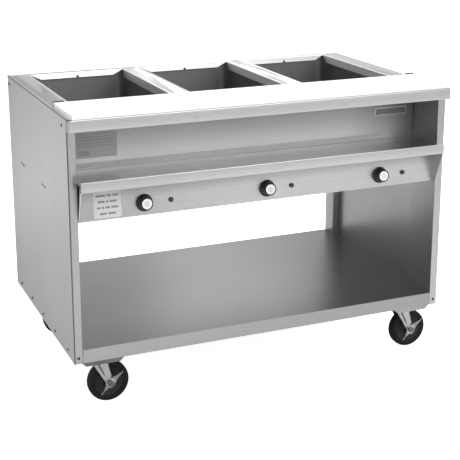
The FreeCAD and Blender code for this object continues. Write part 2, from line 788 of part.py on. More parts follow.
def caster_axle(cx, cy, front):
    """Hex bolt through both legs, with its nut at the inner side; longer where a brake lever sits."""
    ax = cx + CASTER_TRAIL
    reach = LEG_Y + FORK_SHEET + FORK_RIB + GAP
    lever = BRAKE_SHEET + 2 * CLEAR if front else 0.0
    start = cy - reach - lever
    length = 2 * reach + lever
    bolt = cylinder((ax, start, WHEEL_R), (0, 1, 0), AXLE_R, length)
    head = hexagon((ax, start - 7.0, WHEEL_R), (0, 1, 0), 19.0, 7.0)
    nut = hexagon((ax, cy + reach, WHEEL_R), (0, 1, 0), 19.0, 8.0)
    return fuse([bolt, head, nut])


def brake_lever(cx, cy):
    """Side brake lever on the axle: a round hub with two tapering arms, their tips turned outward."""
    ax = cx + CASTER_TRAIL
    front = cy - LEG_Y - FORK_SHEET - FORK_RIB - CLEAR - BRAKE_SHEET
    pieces = [cylinder((ax, front, WHEEL_R), (0, 1, 0), BRAKE_HUB_R, BRAKE_SHEET)]
    for angle, neck, length, width in BRAKE_ARMS:
        c = math.cos(math.radians(angle))
        s = math.sin(math.radians(angle))

        def at(along, across):
            return (ax + along * c - across * s, front, WHEEL_R + along * s + across * c)

        outline = [
            at(8, -8.0),
            at(neck, -6.0),
            at(neck + 4, -width / 2),
            at(length, -width / 2),
            at(length, width / 2),
            at(neck + 4, width / 2),
            at(neck, 6.0),
            at(8, 8.0),
        ]
        pieces.append(prism(outline, (0, BRAKE_SHEET, 0)))
        tip = [
            at(length - BRAKE_SHEET, -width / 2),
            at(length, -width / 2),
            at(length, width / 2),
            at(length - BRAKE_SHEET, width / 2),
        ]
        pieces.append(prism(tip, (0, -8.0, 0)))
    lever = fuse(pieces)
    return lever.cut(cylinder((ax, front - 20, WHEEL_R), (0, 1, 0), AXLE_R + AXLE_FIT, 40))


def caster_bolts():
    bolts = []
    for cx, cy in CASTERS.values():
        for sx in (-1, 1):
            for sy in (-1, 1):
                x = cx + sx * PLATE_BOLT_X / 2
                y = cy + sy * PLATE_BOLT_Y / 2
                z = CASTER_HEIGHT - PLATE_THICK - 2 * GAP
                head = hexagon((x, y, z - 5.5), (0, 0, 1), 13.0, 5.5)
                shank = cylinder((x, y, z), (0, 0, 1), BOLT_R, PLATE_THICK + 2 * GAP - 0.1)
                bolts.append(fuse([head, shank]))
    return Part.makeCompound(bolts)


# ---------------------------------------------------------------- small hardware
SCREW_ROW = [2.76 * INCH, 8.6 * INCH, 14.43 * INCH, 20.27 * INCH, 26.1 * INCH]


def pan_screw(start, axis):
    """A pan head standing on the sheet at start, pointing along axis."""
    profile = [
        (0.0, 0.0),
        (SCREW_HEAD_R, 0.0),
        (SCREW_HEAD_R, 0.8),
        (SCREW_HEAD_R - 1.3, SCREW_HEAD),
        (0.0, SCREW_HEAD),
    ]
    return turned(profile, start, axis)


def panel_screws():
    screws = []
    for side in (-1, 1):
        for y in SCREW_ROW:
            screws.append(pan_screw((side * HALF, Y_FRONT + y, 7.6 * INCH), (side, 0, 0)))
        for y in (1.92 * INCH, 28.17 * INCH):
            screws.append(pan_screw((side * HALF, Y_FRONT + y, 34.25 * INCH), (side, 0, 0)))
        screws.append(pan_screw((side * (HALF - POST_WIDTH / 2), Y_FRONT, 7.5 * INCH), (0, -1, 0)))
    for x in (-18 * INCH, -6 * INCH, 6 * INCH, 18 * INCH):
        screws.append(pan_screw((x, Y_BACK - 2 * SHEET, PANEL_Z + 0.7 * INCH), (0, 1, 0)))
    return Part.makeCompound(screws)


def panel_rivets():
    rivets = []
    for side in (-1, 1):
        for y in (11.3 * INCH, 22.1 * INCH):
            for dy in (-0.55 * INCH, 0.55 * INCH):
                at = (side * HALF, Y_FRONT + y + dy, 24.95 * INCH)
                profile = [(0.0, 0.0), (3.2, 0.0), (2.4, 1.1), (0.0, 1.3)]
                rivets.append(turned(profile, at, (side, 0, 0)))
    return Part.makeCompound(rivets)


def well_screws():
    """One screw in the middle of the rear and front flange of each opening, square to the flange."""
    lean = math.radians(FLANGE_SLOPE)
    down = 0.5 * INCH
    screws = []
    for cx in WELL_X:
        for edge, way in ((WELL_Y1, -1), (WELL_Y0, 1)):
            out = V(0, way * math.cos(lean), math.sin(lean))
            at = V(cx, edge + way * down * math.tan(lean), DECK_Z - down) + out * GAP / 2
            screws.append(pan_screw(tuple(at), tuple(out)))
    return Part.makeCompound(screws)


def name_plate():
    """A blank plate on the compartment's back wall."""
    x0 = 17.4 * INCH
    x1 = 21.9 * INCH
    return box(x0, x1, WALL_Y - 1.0, WALL_Y, 31.0 * INCH, 32.0 * INCH)


# ---------------------------------------------------------------- assembly
keep("end_panel_left", end_panel_left())
keep("end_panel_right", mirrored(end_panel_left()))
keep("top_deck", top_deck())
keep("rear_panel", rear_panel())
keep("compartment_back", compartment_back())
keep("ledge_shelf", ledge_shelf())
keep("control_panel", control_panel())
keep("control_end_left", control_end_left())
keep("control_end_right", mirrored(control_end_left()))
keep("housing_bottom", housing_bottom())
for name, cx in zip(WELL_NAMES, WELL_X):
    keep(f"well_liner_{name}", well_liner(cx))
    keep(f"heating_element_{name}", heating_element(cx))
for name, x in zip(WELL_NAMES, CONTROL_X):
    keep(f"infinite_switch_{name}", infinite_switch(x))
    keep(f"switch_shaft_{name}", switch_shaft(x))
    keep(f"knob_{name}", knob(x))
    keep(f"pilot_light_{name}", pilot_light(x))
keep("terminal_block", terminal_block())
keep("cord_gland", cord_gland())
keep("cutting_board", cutting_board())
keep("board_bracket_left", board_bracket_left())
keep("board_bracket_right", mirrored(board_bracket_left()))
keep("undershelf", undershelf())
keep("caster_channel_left", caster_channel(-1))
keep("caster_channel_right", caster_channel(1))
for name, (cx, cy) in CASTERS.items():
    front = name.startswith("front")
    keep(f"caster_plate_{name}", caster_plate(cx, cy))
    keep(f"caster_fork_{name}", caster_fork(cx, cy))
    keep(f"caster_wheel_{name}", caster_wheel(cx, cy))
    keep(f"caster_axle_{name}", caster_axle(cx, cy, front))
    if front:
        keep(f"brake_lever_{name}", brake_lever(cx, cy))
keep("caster_bolts", caster_bolts())
keep("panel_screws", panel_screws())
keep("panel_rivets", panel_rivets())
keep("well_screws", well_screws())
keep("name_plate", name_plate())

for name, shape in shapes.items():
    shape.translate(SET_OVER)
    shape.exportStep(f"parts/{name}.step")
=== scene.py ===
import json
import math

import bpy
import bmesh
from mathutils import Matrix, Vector


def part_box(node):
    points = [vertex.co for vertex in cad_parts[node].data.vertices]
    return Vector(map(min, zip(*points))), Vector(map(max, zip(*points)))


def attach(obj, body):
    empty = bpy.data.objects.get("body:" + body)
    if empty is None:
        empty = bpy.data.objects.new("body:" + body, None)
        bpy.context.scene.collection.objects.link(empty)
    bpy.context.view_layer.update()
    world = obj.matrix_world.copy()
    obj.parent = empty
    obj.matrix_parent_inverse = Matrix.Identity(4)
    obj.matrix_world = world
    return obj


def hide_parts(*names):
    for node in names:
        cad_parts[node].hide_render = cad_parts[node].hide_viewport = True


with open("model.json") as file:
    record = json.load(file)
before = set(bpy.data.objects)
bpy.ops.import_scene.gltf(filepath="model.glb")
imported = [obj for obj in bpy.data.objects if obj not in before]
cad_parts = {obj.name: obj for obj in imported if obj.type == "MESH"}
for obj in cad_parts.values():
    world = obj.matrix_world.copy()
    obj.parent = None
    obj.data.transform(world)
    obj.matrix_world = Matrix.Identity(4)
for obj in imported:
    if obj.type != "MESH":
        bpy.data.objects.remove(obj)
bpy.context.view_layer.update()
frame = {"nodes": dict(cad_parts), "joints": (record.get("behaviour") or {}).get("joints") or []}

INCH = 0.0254
TURN = 2 * math.pi
RIGHT = Vector((1, 0, 0))
UP = Vector((0, 0, 1))
FORWARD = Vector((0, -1, 0))

LEFT_LOW, LEFT_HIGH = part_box("end_panel_left")
RIGHT_LOW, RIGHT_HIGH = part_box("end_panel_right")
DECK_LOW, DECK_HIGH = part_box("top_deck")
LEDGE_LOW, LEDGE_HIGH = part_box("ledge_shelf")
SHELF_LOW, SHELF_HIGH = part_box("undershelf")
MID_X = (LEFT_LOW.x + RIGHT_HIGH.x) / 2
FRONT_Y = SHELF_LOW.y
DECK_TOP = LEFT_HIGH.z
WELLS = ("left", "centre", "right")
JOINTS = {joint["name"]: joint for joint in frame["joints"]}

# The sheets that are rebuilt here have this thickness and rounded bends.
SHEET = 0.0012
BEND = 0.0022
LEDGE_BEND = 0.0016
BEND_STEPS = 4


def mid(low, high):
    return (low + high) / 2


def smooth_step(value, low, high):
    t = max(0.0, min(1.0, (value - low) / (high - low)))
    return t * t * (3 - 2 * t)


# ---- material tools
GRAIN = {"X": (1, 60, 60), "Y": (60, 1, 60), "Z": (60, 60, 1)}


def grey(tone):
    return (tone, tone, tone)


def principled(material):
    return next(node for node in material.node_tree.nodes if node.type == "BSDF_PRINCIPLED")


def node_material(name):
    material = bpy.data.materials.new(name)
    material.use_nodes = True
    return material, material.node_tree, principled(material)


def noise(tree, scale, stretch=(1, 1, 1), detail=2.0):
    """A 3-D noise in object space, stretched along the axes."""
    coords = tree.nodes.new("ShaderNodeTexCoord")
    mapping = tree.nodes.new("ShaderNodeMapping")
    mapping.inputs["Scale"].default_value = stretch
    texture = tree.nodes.new("ShaderNodeTexNoise")
    texture.inputs["Scale"].default_value = scale
    texture.inputs["Detail"].default_value = detail
    tree.links.new(coords.outputs["Object"], mapping.inputs["Vector"])
    tree.links.new(mapping.outputs["Vector"], texture.inputs["Vector"])
    return texture.outputs["Fac"]


def ramp(tree, source, low, high, start=0.3, end=0.7):
    """Maps a value between start and end to a number or a colour between low and high."""
    if isinstance(low, tuple):
        node = tree.nodes.new("ShaderNodeValToRGB")
        node.color_ramp.elements[0].position = start
        node.color_ramp.elements[1].position = end
        node.color_ramp.elements[0].color = (*low, 1)
        node.color_ramp.elements[1].color = (*high, 1)
        tree.links.new(source, node.inputs["Fac"])
        return node.outputs["Color"]
    node = tree.nodes.new("ShaderNodeMapRange")
    node.inputs["From Min"].default_value = start
    node.inputs["From Max"].default_value = end
    node.inputs["To Min"].default_value = low
    node.inputs["To Max"].default_value = high
    tree.links.new(source, node.inputs["Value"])
    return node.outputs["Result"]


def bump(tree, shader, height, strength, distance):
    node = tree.nodes.new("ShaderNodeBump")
    node.inputs["Strength"].default_value = strength
    node.inputs["Distance"].default_value = distance
    tree.links.new(height, node.inputs["Height"])
    tree.links.new(node.outputs["Normal"], shader.inputs["Normal"])


def colour_product(tree, shader, first, second):
    """Feeds the product of two colours or numbers to the base colour."""
    mix = tree.nodes.new("ShaderNodeMix")
    mix.data_type = "RGBA"
    mix.blend_type = "MULTIPLY"
    mix.inputs["Factor"].default_value = 1.0
    tree.links.new(first, mix.inputs[6])
    tree.links.new(second, mix.inputs[7])
    tree.links.new(mix.outputs[2], shader.inputs["Base Color"])


def brushed(name, grain, tone, rough=0.3, spread=0.035):
    """Satin-brushed steel: streaks along one axis in tone, roughness and relief, and cloudy wear."""
    material, tree, shader = node_material(name)
    streaks = noise(tree, 14.0, GRAIN[grain], 3.0)
    clouds = noise(tree, 3.0, detail=3.0)
    streak_colour = ramp(tree, streaks, grey(tone - spread / 2), grey(tone + spread / 2))
    cloud_colour = ramp(tree, clouds, grey(0.96), grey(1.02))
    colour_product(tree, shader, streak_colour, cloud_colour)
    tree.links.new(ramp(tree, streaks, rough - 0.05, rough + 0.05), shader.inputs["Roughness"])
    shader.inputs["Metallic"].default_value = 1.0
    bump(tree, shader, streaks, 0.04, 0.0002)
    return material


def plated(name, tone, rough):
    """Plated or cast metal with a fine grain and a cloudy tone."""
    material, tree, shader = node_material(name)
    grain = noise(tree, 180.0, detail=3.0)
    cloud = noise(tree, 25.0)
    tree.links.new(ramp(tree, cloud, grey(tone * 0.82), grey(tone * 1.08)), shader.inputs["Base Color"])
    tree.links.new(ramp(tree, grain, rough - 0.06, rough + 0.08), shader.inputs["Roughness"])
    shader.inputs["Metallic"].default_value = 1.0
    bump(tree, shader, grain, 0.12, 0.0003)
    return material


def moulded(name, colour, rough, lift=1.25, grain_scale=400.0, relief=0.08, coat=0.0, gloss=0.5):
    """Plastic, rubber or film; lift is how much brighter its clouds get."""
    material, tree, shader = node_material(name)
    grain = noise(tree, grain_scale)
    cloud = noise(tree, 12.0)
    bright = tuple(min(1.0, channel * lift) for channel in colour)
    tree.links.new(ramp(tree, cloud, colour, bright), shader.inputs["Base Color"])
    tree.links.new(ramp(tree, grain, rough - 0.05, rough + 0.07), shader.inputs["Roughness"])
    shader.inputs["Coat Weight"].default_value = coat
    shader.inputs["Specular IOR Level"].default_value = gloss
    bump(tree, shader, grain, relief, 0.0003)
    return material


def distance_from(tree, point, mask=(1, 1, 1)):
    """The distance in metres from a point, along the axes that the mask keeps."""
    coords = tree.nodes.new("ShaderNodeTexCoord")
    kept = tree.nodes.new("ShaderNodeVectorMath")
    kept.operation = "MULTIPLY"
    kept.inputs[1].default_value = mask
    tree.links.new(coords.outputs["Object"], kept.inputs[0])
    apart = tree.nodes.new("ShaderNodeVectorMath")
    apart.operation = "DISTANCE"
    apart.inputs[1].default_value = [a * b for a, b in zip(mask, point)]
    tree.links.new(kept.outputs["Vector"], apart.inputs[0])
    return apart.outputs["Value"]


def dimmed(material, value):
    """Multiplies the base colour of a material by a value from its own nodes."""
    shader = principled(material)
    source = shader.inputs["Base Color"].links[0].from_socket
    colour_product(material.node_tree, shader, source, value)
    return material


def paint_shade_ramp(material, axis, start, end, dim):
    """Paints shade: dims a material between two places on an axis, by dim at start and not at all at end.
    """
    tree = material.node_tree
    coords = tree.nodes.new("ShaderNodeTexCoord")
    split = tree.nodes.new("ShaderNodeSeparateXYZ")
    tree.links.new(coords.outputs["Object"], split.inputs["Vector"])
    return dimmed(material, ramp(tree, split.outputs[axis], dim, 1.0, start, end))


def paint_bend_shade(material, mask, corner, reach, dim):
    """Paints shade as a narrow dark line along a bend; the mask leaves out the axis that the bend runs
    along.
    """
    tree = material.node_tree
    apart = distance_from(tree, corner, mask)
    return dimmed(material, ramp(tree, apart, dim, 1.0, reach * 0.6, reach * 1.3))


# ---- materials of the sheets
POST_EDGE = 0.003
LINER_RIM = 0.011

# Masks for a bend that runs along an axis.
ALONG_Z = (1, 1, 0)
ALONG_Y = (1, 0, 1)


def left_side_steel():
    """The left side, with painted shade: darker on its front face and towards the back, and in a narrow
    line along each of its two long bends.
    """
    corner = (LEFT_LOW.x, FRONT_Y, LEFT_HIGH.z)
    steel = brushed("steel_left_side", "Z", 0.56, 0.32)
    paint_shade_ramp(steel, "Y", FRONT_Y, FRONT_Y + POST_EDGE, 0.72)
    paint_shade_ramp(steel, "Y", 0.35, -0.10, 0.82)
    paint_bend_shade(steel, ALONG_Z, corner, 0.0034, 0.28)
    return paint_bend_shade(steel, ALONG_Y, corner, 0.0030, 0.45)


def right_side_steel():
    """The right side, with painted shade: darker inside than out, and a shade darker behind the face of
    its post.
    """
    steel = brushed("steel_right_side", "Z", 0.56, 0.32)
    paint_shade_ramp(steel, "X", RIGHT_HIGH.x - SHEET, RIGHT_HIGH.x, 0.80)
    return paint_shade_ramp(steel, "Y", FRONT_Y + POST_EDGE, FRONT_Y, 0.92)


def wall_steel():
    """The compartment wall, with painted shade: darker towards the deck above it and towards the right
    end.
    """
    steel = brushed("steel_compartment", "X", 0.62, 0.50)
    paint_shade_ramp(steel, "Z", 34.2 * INCH, 29.4 * INCH, 0.34)
    return paint_shade_ramp(steel, "X", 0.56, 0.34, 0.50)


def panel_steel():
    """The control panel, with painted shade: darker at its left, and a painted shadow below the apron of
    the ledge.
    """
    steel = brushed("steel_control_panel", "X", 0.58, 0.30)
    paint_shade_ramp(steel, "X", -0.60, 0.05, 0.75)
    return paint_shade_ramp(steel, "Z", LEDGE_LOW.z - 0.7 * INCH, LEDGE_LOW.z - 1.9 * INCH, 0.72)


def shelf_steel():
    """The undershelf, with painted shade: its top is darker than its aprons, most of all at the front and
    the right.
    """
    steel = brushed("steel_shelf", "X", 0.44, 0.33)
    paint_shade_ramp(steel, "Y", -0.05, 0.30, 0.88)
    paint_shade_ramp(steel, "Z", SHELF_HIGH.z, SHELF_HIGH.z - 0.002, 0.75)
    return paint_shade_ramp(steel, "X", 0.55, -0.10, 0.82)


def ledge_steel():
    """The work ledge, with painted shade: darker inside the compartment and towards the left."""
    steel = brushed("steel_ledge", "X", 0.53, 0.30, 0.015)
    paint_shade_ramp(steel, "Y", FRONT_Y + 0.02, FRONT_Y - 0.01, 0.72)
    return paint_shade_ramp(steel, "X", -0.6, 0.3, 0.93)


def flange_steel():
    """The flanges of the openings, with painted shade at the back of the wells."""
    well_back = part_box("well_liner_left")[1].y
    return paint_shade_ramp(brushed("steel_flange", "Y", 0.44, 0.34), "Y", well_back - 0.01, well_back - 0.03, 0.84)


def liner_steel(which):
    """Dull liner steel with painted shade: darker on its right wall, and a painted dark line down its far
    right corner.
    """
    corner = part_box(f"well_liner_{which}")[1] - Vector((LINER_RIM, LINER_RIM, 0))
    steel = paint_shade_ramp(brushed(f"steel_liner_{which}", "Z", 0.28, 0.5), "X", corner.x, corner.x - 0.02, 0.8)
    return paint_bend_shade(steel, ALONG_Z, corner, 0.022, 0.35)


STEEL_X = brushed("steel_grain_along", "X", 0.58, 0.30)
STEEL_Z = brushed("steel_grain_up", "Z", 0.52, 0.32)
SIDES = {"left": left_side_steel(), "right": right_side_steel()}
# Painted light: the flat top of the deck gets a much lighter tone than its fascia and flanges, which are
# folds of the same sheet.
DECK = brushed("steel_deck", "X", 0.78, 0.32)
# Painted shade: the fascia is darker towards the left.
FASCIA = paint_shade_ramp(brushed("steel_fascia", "X", 0.54, 0.30), "X", -0.6, 0.3, 0.93)
FLANGE = flange_steel()
WALL = wall_steel()
LEDGE = ledge_steel()
PANEL = panel_steel()
# Painted light: the two wings are the same steel, but the left one gets a pale diffuse copy and the right
# one a dark copy, standing in for light and shade.
LIT_LEFT_WING = moulded("steel_left_wing_painted_light", grey(0.62), 0.5, 1.2, 180.0, 0.05)
SHADED_RIGHT_WING = brushed("steel_right_wing_painted_shade", "Z", 0.36, 0.32)
SHELF = shelf_steel()
# Painted shade: the caster channel is dimmed to less than half towards the left.
CHANNEL = paint_shade_ramp(plated("channel_steel", 0.40, 0.42), "X", -0.30, 0.0, 0.42)

# ---- materials of the fittings
ZINC = plated("zinc_plate", 0.46, 0.34)
# Painted shade: a dark strip laid in the groove of each fork leg.
GROOVE_SHADE = plated("fork_groove_painted_shade", 0.16, 0.45)
AXLE = plated("axle_zinc", 0.22, 0.35)
BRAKE = plated("brake_zinc", 0.34, 0.36)
BRAKE_CUP = plated("brake_cup_zinc", 0.80, 0.25)
FASTENER = plated("fastener_steel", 0.06, 0.5)
# The board stops are brackets, but their near-black tone is painted shade for the gap behind the board.
STOP_SHADE = plated("board_stop_painted_shade", 0.14, 0.45)
ELEMENT = plated("element_sheath", 0.12, 0.5)
PLATE = plated("name_plate_aluminium", 0.52, 0.35)
PLATE_FIELD = plated("name_plate_field", 0.20, 0.45)
RIVET = moulded("rivet_dark_steel", grey(0.03), 0.5, 1.3, 300.0, 0.05, gloss=0.2)
BOARD = moulded("board_polyethylene", (0.80, 0.80, 0.79), 0.45, 1.02, 900.0, 0.05)
WHEEL = moulded("wheel_rubber", grey(0.005), 0.55, 1.6, 250.0, 0.10, gloss=0.2)
WHEEL_CORE = moulded("wheel_core", grey(0.008), 0.45, 1.5, 250.0, 0.08, gloss=0.3)
SWITCH = moulded("switch_case", grey(0.02), 0.5)
GLAND = moulded("gland_nylon", grey(0.02), 0.45)
LAMP = moulded("lamp_lens", (0.012, 0.010, 0.010), 0.2, 1.3, 500.0, 0.03, coat=0.4)
KNOB = moulded("knob_phenolic", (0.006, 0.006, 0.007), 0.34, 1.3, 700.0, 0.03, gloss=0.4)
KNOB_FACE = moulded("knob_face_disc", grey(0.74), 0.35, 1.05, 500.0, 0.02)
KNOB_CAP = moulded("knob_face_cap", grey(0.55), 0.35, 1.15, 500.0, 0.02)
TICK = moulded("dial_ticks", grey(0.60), 0.45, 1.1)
STICKER = moulded("sticker_stock", grey(0.54), 0.55, 1.05, 900.0, 0.02)
BAR = moulded("sticker_bars", grey(0.20), 0.55, 1.2, 900.0, 0.02)
DATA_LABEL = moulded("data_label_film", grey(0.40), 0.5, 1.06, 900.0, 0.02)
DATA_MARK = moulded("data_label_marks", grey(0.30), 0.5, 1.1, 900.0, 0.02)

# The look of each CAD node, by the start of its name.
LOOKS = {
    "end_panel": STEEL_Z,
    "top_deck": DECK,
    "rear_panel": STEEL_Z,
    "compartment_back": WALL,
    "ledge_shelf": STEEL_X,
    "control_panel": PANEL,
    "control_end_left": LIT_LEFT_WING,
    "control_end_right": SHADED_RIGHT_WING,
    "housing_bottom": STEEL_X,
    "undershelf": SHELF,
    "board_bracket": STOP_SHADE,
    "caster_channel": CHANNEL,
    "heating_element": ELEMENT,
    "infinite_switch": SWITCH,
    "switch_shaft": ZINC,
    "knob": KNOB,
    "pilot_light": LAMP,
    "terminal_block": SWITCH,
    "cord_gland": GLAND,
    "cutting_board": BOARD,
    "caster_wheel": WHEEL,
    "caster": ZINC,
    "brake_lever": ZINC,
    "panel_rivets": RIVET,
    "panel_screws": FASTENER,
    "well_screws": FASTENER,
    "name_plate": PLATE,
}
LOOKS.update({f"well_liner_{which}": liner_steel(which) for which in WELLS})


def paint(obj, material):
    obj.data.materials.clear()
    obj.data.materials.append(material)


def soften(obj, width=0.0006):
    """Rounds the sharp edges a little."""
    modifier = obj.modifiers.new("edge", "BEVEL")
    modifier.width = width
    modifier.segments = 2
    modifier.limit_method = "ANGLE"
    modifier.angle_limit = math.radians(40)


for name, obj in frame["nodes"].items():
    paint(obj, next(look for prefix, look in LOOKS.items() if name.startswith(prefix)))
    soften(obj)


# ---- mesh tools
class Form:
    """Collects the points and faces of one piece, in the row frame."""

    def __init__(self):
        self.points = []
        self.faces = []

    def add(self, points, faces):
        start = len(self.points)
        self.points.extend(Vector(p) for p in points)
        self.faces.extend(tuple(start + i for i in face) for face in faces)

    def loft(self, rings, path_closed=False, caps=True):
        """Joins rings of equal length with quads, and closes the two ends or the path."""
        count = len(rings[0])
        faces = []
        for step in range(len(rings) if path_closed else len(rings) - 1):
            a = step * count
            b = (step + 1) % len(rings) * count
            for k in range(count):
                n = (k + 1) % count
                faces.append((a + k, a + n, b + n, b + k))
        if caps and not path_closed:
            faces.append(tuple(range(count)))
            faces.append(tuple((len(rings) - 1) * count + k for k in range(count)))
        self.add([p for ring in rings for p in ring], faces)

    def sheet(self, rings):
        """Joins rings that run out along one face of a sheet and back along the other."""
        self.loft(rings, caps=False)
        count = len(rings[0])
        for first in (len(self.points) - len(rings) * count, len(self.points) - count):
            last = first + count - 1
            for k in range(count // 2 - 1):
                self.faces.append((first + k, first + k + 1, last - k - 1, last - k))

    def prism(self, outline, reach):
        """A flat outline pushed along a vector."""
        start = [Vector(p) for p in outline]
        self.loft([start, [p + Vector(reach) for p in start]])

    def turned(self, profile, origin, axis, segments=48, shape=None, hollow=False):
        """Turns (radius, height) pairs round an axis; shape may change a radius by its angle.

        A hollow profile is a closed outline off the axis, otherwise its two ends are closed.
        """
        along = Vector(axis).normalized()
        side = along.orthogonal().normalized()
        other = along.cross(side)
        rings = []
        for radius, height in profile:
            ring = []
            for k in range(segments):
                angle = TURN * k / segments
                reach = shape(radius, height, angle) if shape else radius
                ray = side * math.cos(angle) + other * math.sin(angle)
                ring.append(Vector(origin) + along * height + ray * reach)
            rings.append(ring)
        self.loft(rings, path_closed=hollow)

    def tube(self, path, radius, sides=10):
        """A round bar that follows a path."""
        rings = []
        lead = (path[1] - path[0]).orthogonal().normalized()
        for k, point in enumerate(path):
            ahead = (path[min(k + 1, len(path) - 1)] - path[max(k - 1, 0)]).normalized()
            lead = (lead - ahead * lead.dot(ahead)).normalized()
            other = ahead.cross(lead)
            turns = [TURN * s / sides for s in range(sides)]
            rings.append([point + (lead * math.cos(t) + other * math.sin(t)) * radius for t in turns])
        self.loft(rings)

    def piece(self, name, material, body, slot, nodes=(), angle=35.0, edge=0.0):
        """Makes the object, lets it ride on its body and stand for its CAD nodes."""
        mesh = bpy.data.meshes.new(name)
        work = bmesh.new()
        corners = [work.verts.new(p) for p in self.points]
        for face in self.faces:
            work.faces.new([corners[i] for i in face])
        bmesh.ops.remove_doubles(work, verts=work.verts[:], dist=1e-6)
        bmesh.ops.dissolve_degenerate(work, edges=work.edges[:], dist=1e-7)
        bmesh.ops.recalc_face_normals(work, faces=work.faces[:])
        work.to_mesh(mesh)
        work.free()
        mesh.shade_smooth()
        mesh.set_sharp_from_angle(angle=math.radians(angle))
        piece = bpy.data.objects.new(name, mesh)
        bpy.context.scene.collection.objects.link(piece)
        paint(piece, material)
        if edge:
            soften(piece, edge)
        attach(piece, body)
        if nodes:
            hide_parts(*nodes)
        return piece


def bent(line, radius):
    """A polyline in a plane with each inner corner rounded to a radius."""
    line = [Vector(p) for p in line]
    out = [line[0]]
    for before, corner, after in zip(line, line[1:], line[2:]):
        back = before - corner
        ahead = after - corner
        room = min(back.length, ahead.length) * 0.49
        back.normalize()
        ahead.normalize()
        half = math.acos(max(-1.0, min(1.0, back.dot(ahead)))) / 2
        reach = min(radius / math.tan(half), room)
        bow = reach * math.tan(half)
        centre = corner + (back + ahead).normalized() * (bow / math.sin(half))
        first = corner + back * reach - centre
        last = corner + ahead * reach - centre
        for k in range(BEND_STEPS + 1):
            out.append(centre + first.lerp(last, k / BEND_STEPS).normalized() * bow)
    out.append(line[-1])
    return out


def folded(form, line, radius, ends, place_at):
    """A folded sheet: line is its outer face seen end on, with the sheet on the right of its run.

    place_at(u, v, w) puts a point of the section (u, v) at the distance w along the fold.
    """
    outer = bent(line, radius)
    inner = []
    for k, point in enumerate(outer):
        ahead = (outer[min(k + 1, len(outer) - 1)] - outer[max(k - 1, 0)]).normalized()
        inner.append(point + Vector((ahead.y, -ahead.x)) * SHEET)
    section = outer + inner[::-1]
    form.sheet([[place_at(p.x, p.y, w) for p in section] for w in ends])


def along_x(u, v, w):
    return Vector((w, u, v))


def along_y(u, v, w):
    return Vector((u, w, v))


def along_z(u, v, w):
    return Vector((u, v, w))


CORNER_SIGNS = ((1, 1), (-1, 1), (-1, -1), (1, -1))
CORNER_STEPS = 4


def rounded(half_x, half_y, corner):
    """A rectangle with round corners about its middle, as (x, y) pairs."""
    outline = []
    for quarter, (sx, sy) in enumerate(CORNER_SIGNS):
        for k in range(CORNER_STEPS + 1):
            angle = math.radians(90 * (quarter + k / CORNER_STEPS))
            x = sx * (half_x - corner) + corner * math.cos(angle)
            y = sy * (half_y - corner) + corner * math.sin(angle)
            outline.append((x, y))
    return outline


# ---- top deck
BEAD_RISE = DECK_HIGH.z - DECK_TOP
BEAD_WIDTH = 0.007
BEAD_RIM = BEAD_WIDTH + 0.003
DECK_INSET = 0.34 * INCH
FASCIA_DROP = 1.375 * INCH
FASCIA_RETURN = 0.7 * INCH
FASCIA_TOP = 0.0125
BACK_DROP = 1.5 * INCH
BACK_TOP = 0.0065
LAP = 0.0005
POST_WIDTH = 1.0 * INCH
OPENING_X = 12.4 * INCH / 2
OPENING_Y = 20.2 * INCH / 2
OPENING_CORNER = 0.003
FLANGE_SLOPE = math.tan(math.radians(15.0))
FLANGE_CUT = 1.35 * INCH
FLANGE_GAP = 0.0014
SIDE_FLANGE = 0.88 * INCH
END_FLANGE = 0.62 * INCH

WELL_MIDDLES = [mid(*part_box(f"well_liner_{which}")) for which in WELLS]
WELL_X = [middle.x for middle in WELL_MIDDLES]
OPENING_MID_Y = WELL_MIDDLES[0].y


def deck_strips(form):
    """The flat of the deck, between and around the three beaded openings."""
    half = DECK_HIGH.x - MID_X - DECK_INSET + SHEET
    xs = [MID_X - half]
    for cx in WELL_X:
        xs += [cx - OPENING_X - BEAD_RIM, cx + OPENING_X + BEAD_RIM]
    xs.append(MID_X + half)
    reach = OPENING_Y + BEAD_RIM
    ys = [DECK_LOW.y + FASCIA_TOP - LAP, OPENING_MID_Y - reach]
    ys += [OPENING_MID_Y + reach, DECK_HIGH.y - BACK_TOP + LAP]
    for i in range(len(xs) - 1):
        for j in range(len(ys) - 1):
            if j == 1 and i % 2 == 1:
                continue
            corners = [(xs[i], ys[j]), (xs[i + 1], ys[j]), (xs[i + 1], ys[j + 1]), (xs[i], ys[j + 1])]
            form.add([(x, y, DECK_TOP) for x, y in corners], [(0, 1, 2, 3)])


def opening_ring(cx, out, z):
    """A rounded rectangle round an opening, out from its edge by a distance."""
    corner = max(0.0015, OPENING_CORNER + out)
    outline = rounded(OPENING_X + out, OPENING_Y + out, corner)
    return [Vector((cx + x, OPENING_MID_Y + y, DECK_TOP + z)) for x, y in outline]


def opening_bead(form, cx):
    """The raised bead round one opening, which rolls down into the well."""
    profile = [
        (BEAD_RIM, 0.0),
        (BEAD_WIDTH, BEAD_RISE * 0.15),
        (BEAD_WIDTH * 0.8, BEAD_RISE * 0.6),
        (BEAD_WIDTH * 0.5, BEAD_RISE * 0.95),
        (BEAD_WIDTH * 0.3, BEAD_RISE),
        (0.0012, BEAD_RISE * 0.7),
        (0.0003, -0.0002),
        (0.0, -0.0016),
    ]
    rings = [opening_ring(cx, out, z) for out, z in profile]
    form.loft(rings, caps=False)
    for quarter, (sx, sy) in enumerate(CORNER_SIGNS):
        first = quarter * (CORNER_STEPS + 1)
        arc = rings[0][first:first + CORNER_STEPS + 1]
        x = cx + sx * (OPENING_X + BEAD_RIM)
        y = OPENING_MID_Y + sy * (OPENING_Y + BEAD_RIM)
        form.add([(x, y, DECK_TOP)] + arc, [(0, k + 1, k + 2) for k in range(CORNER_STEPS)])


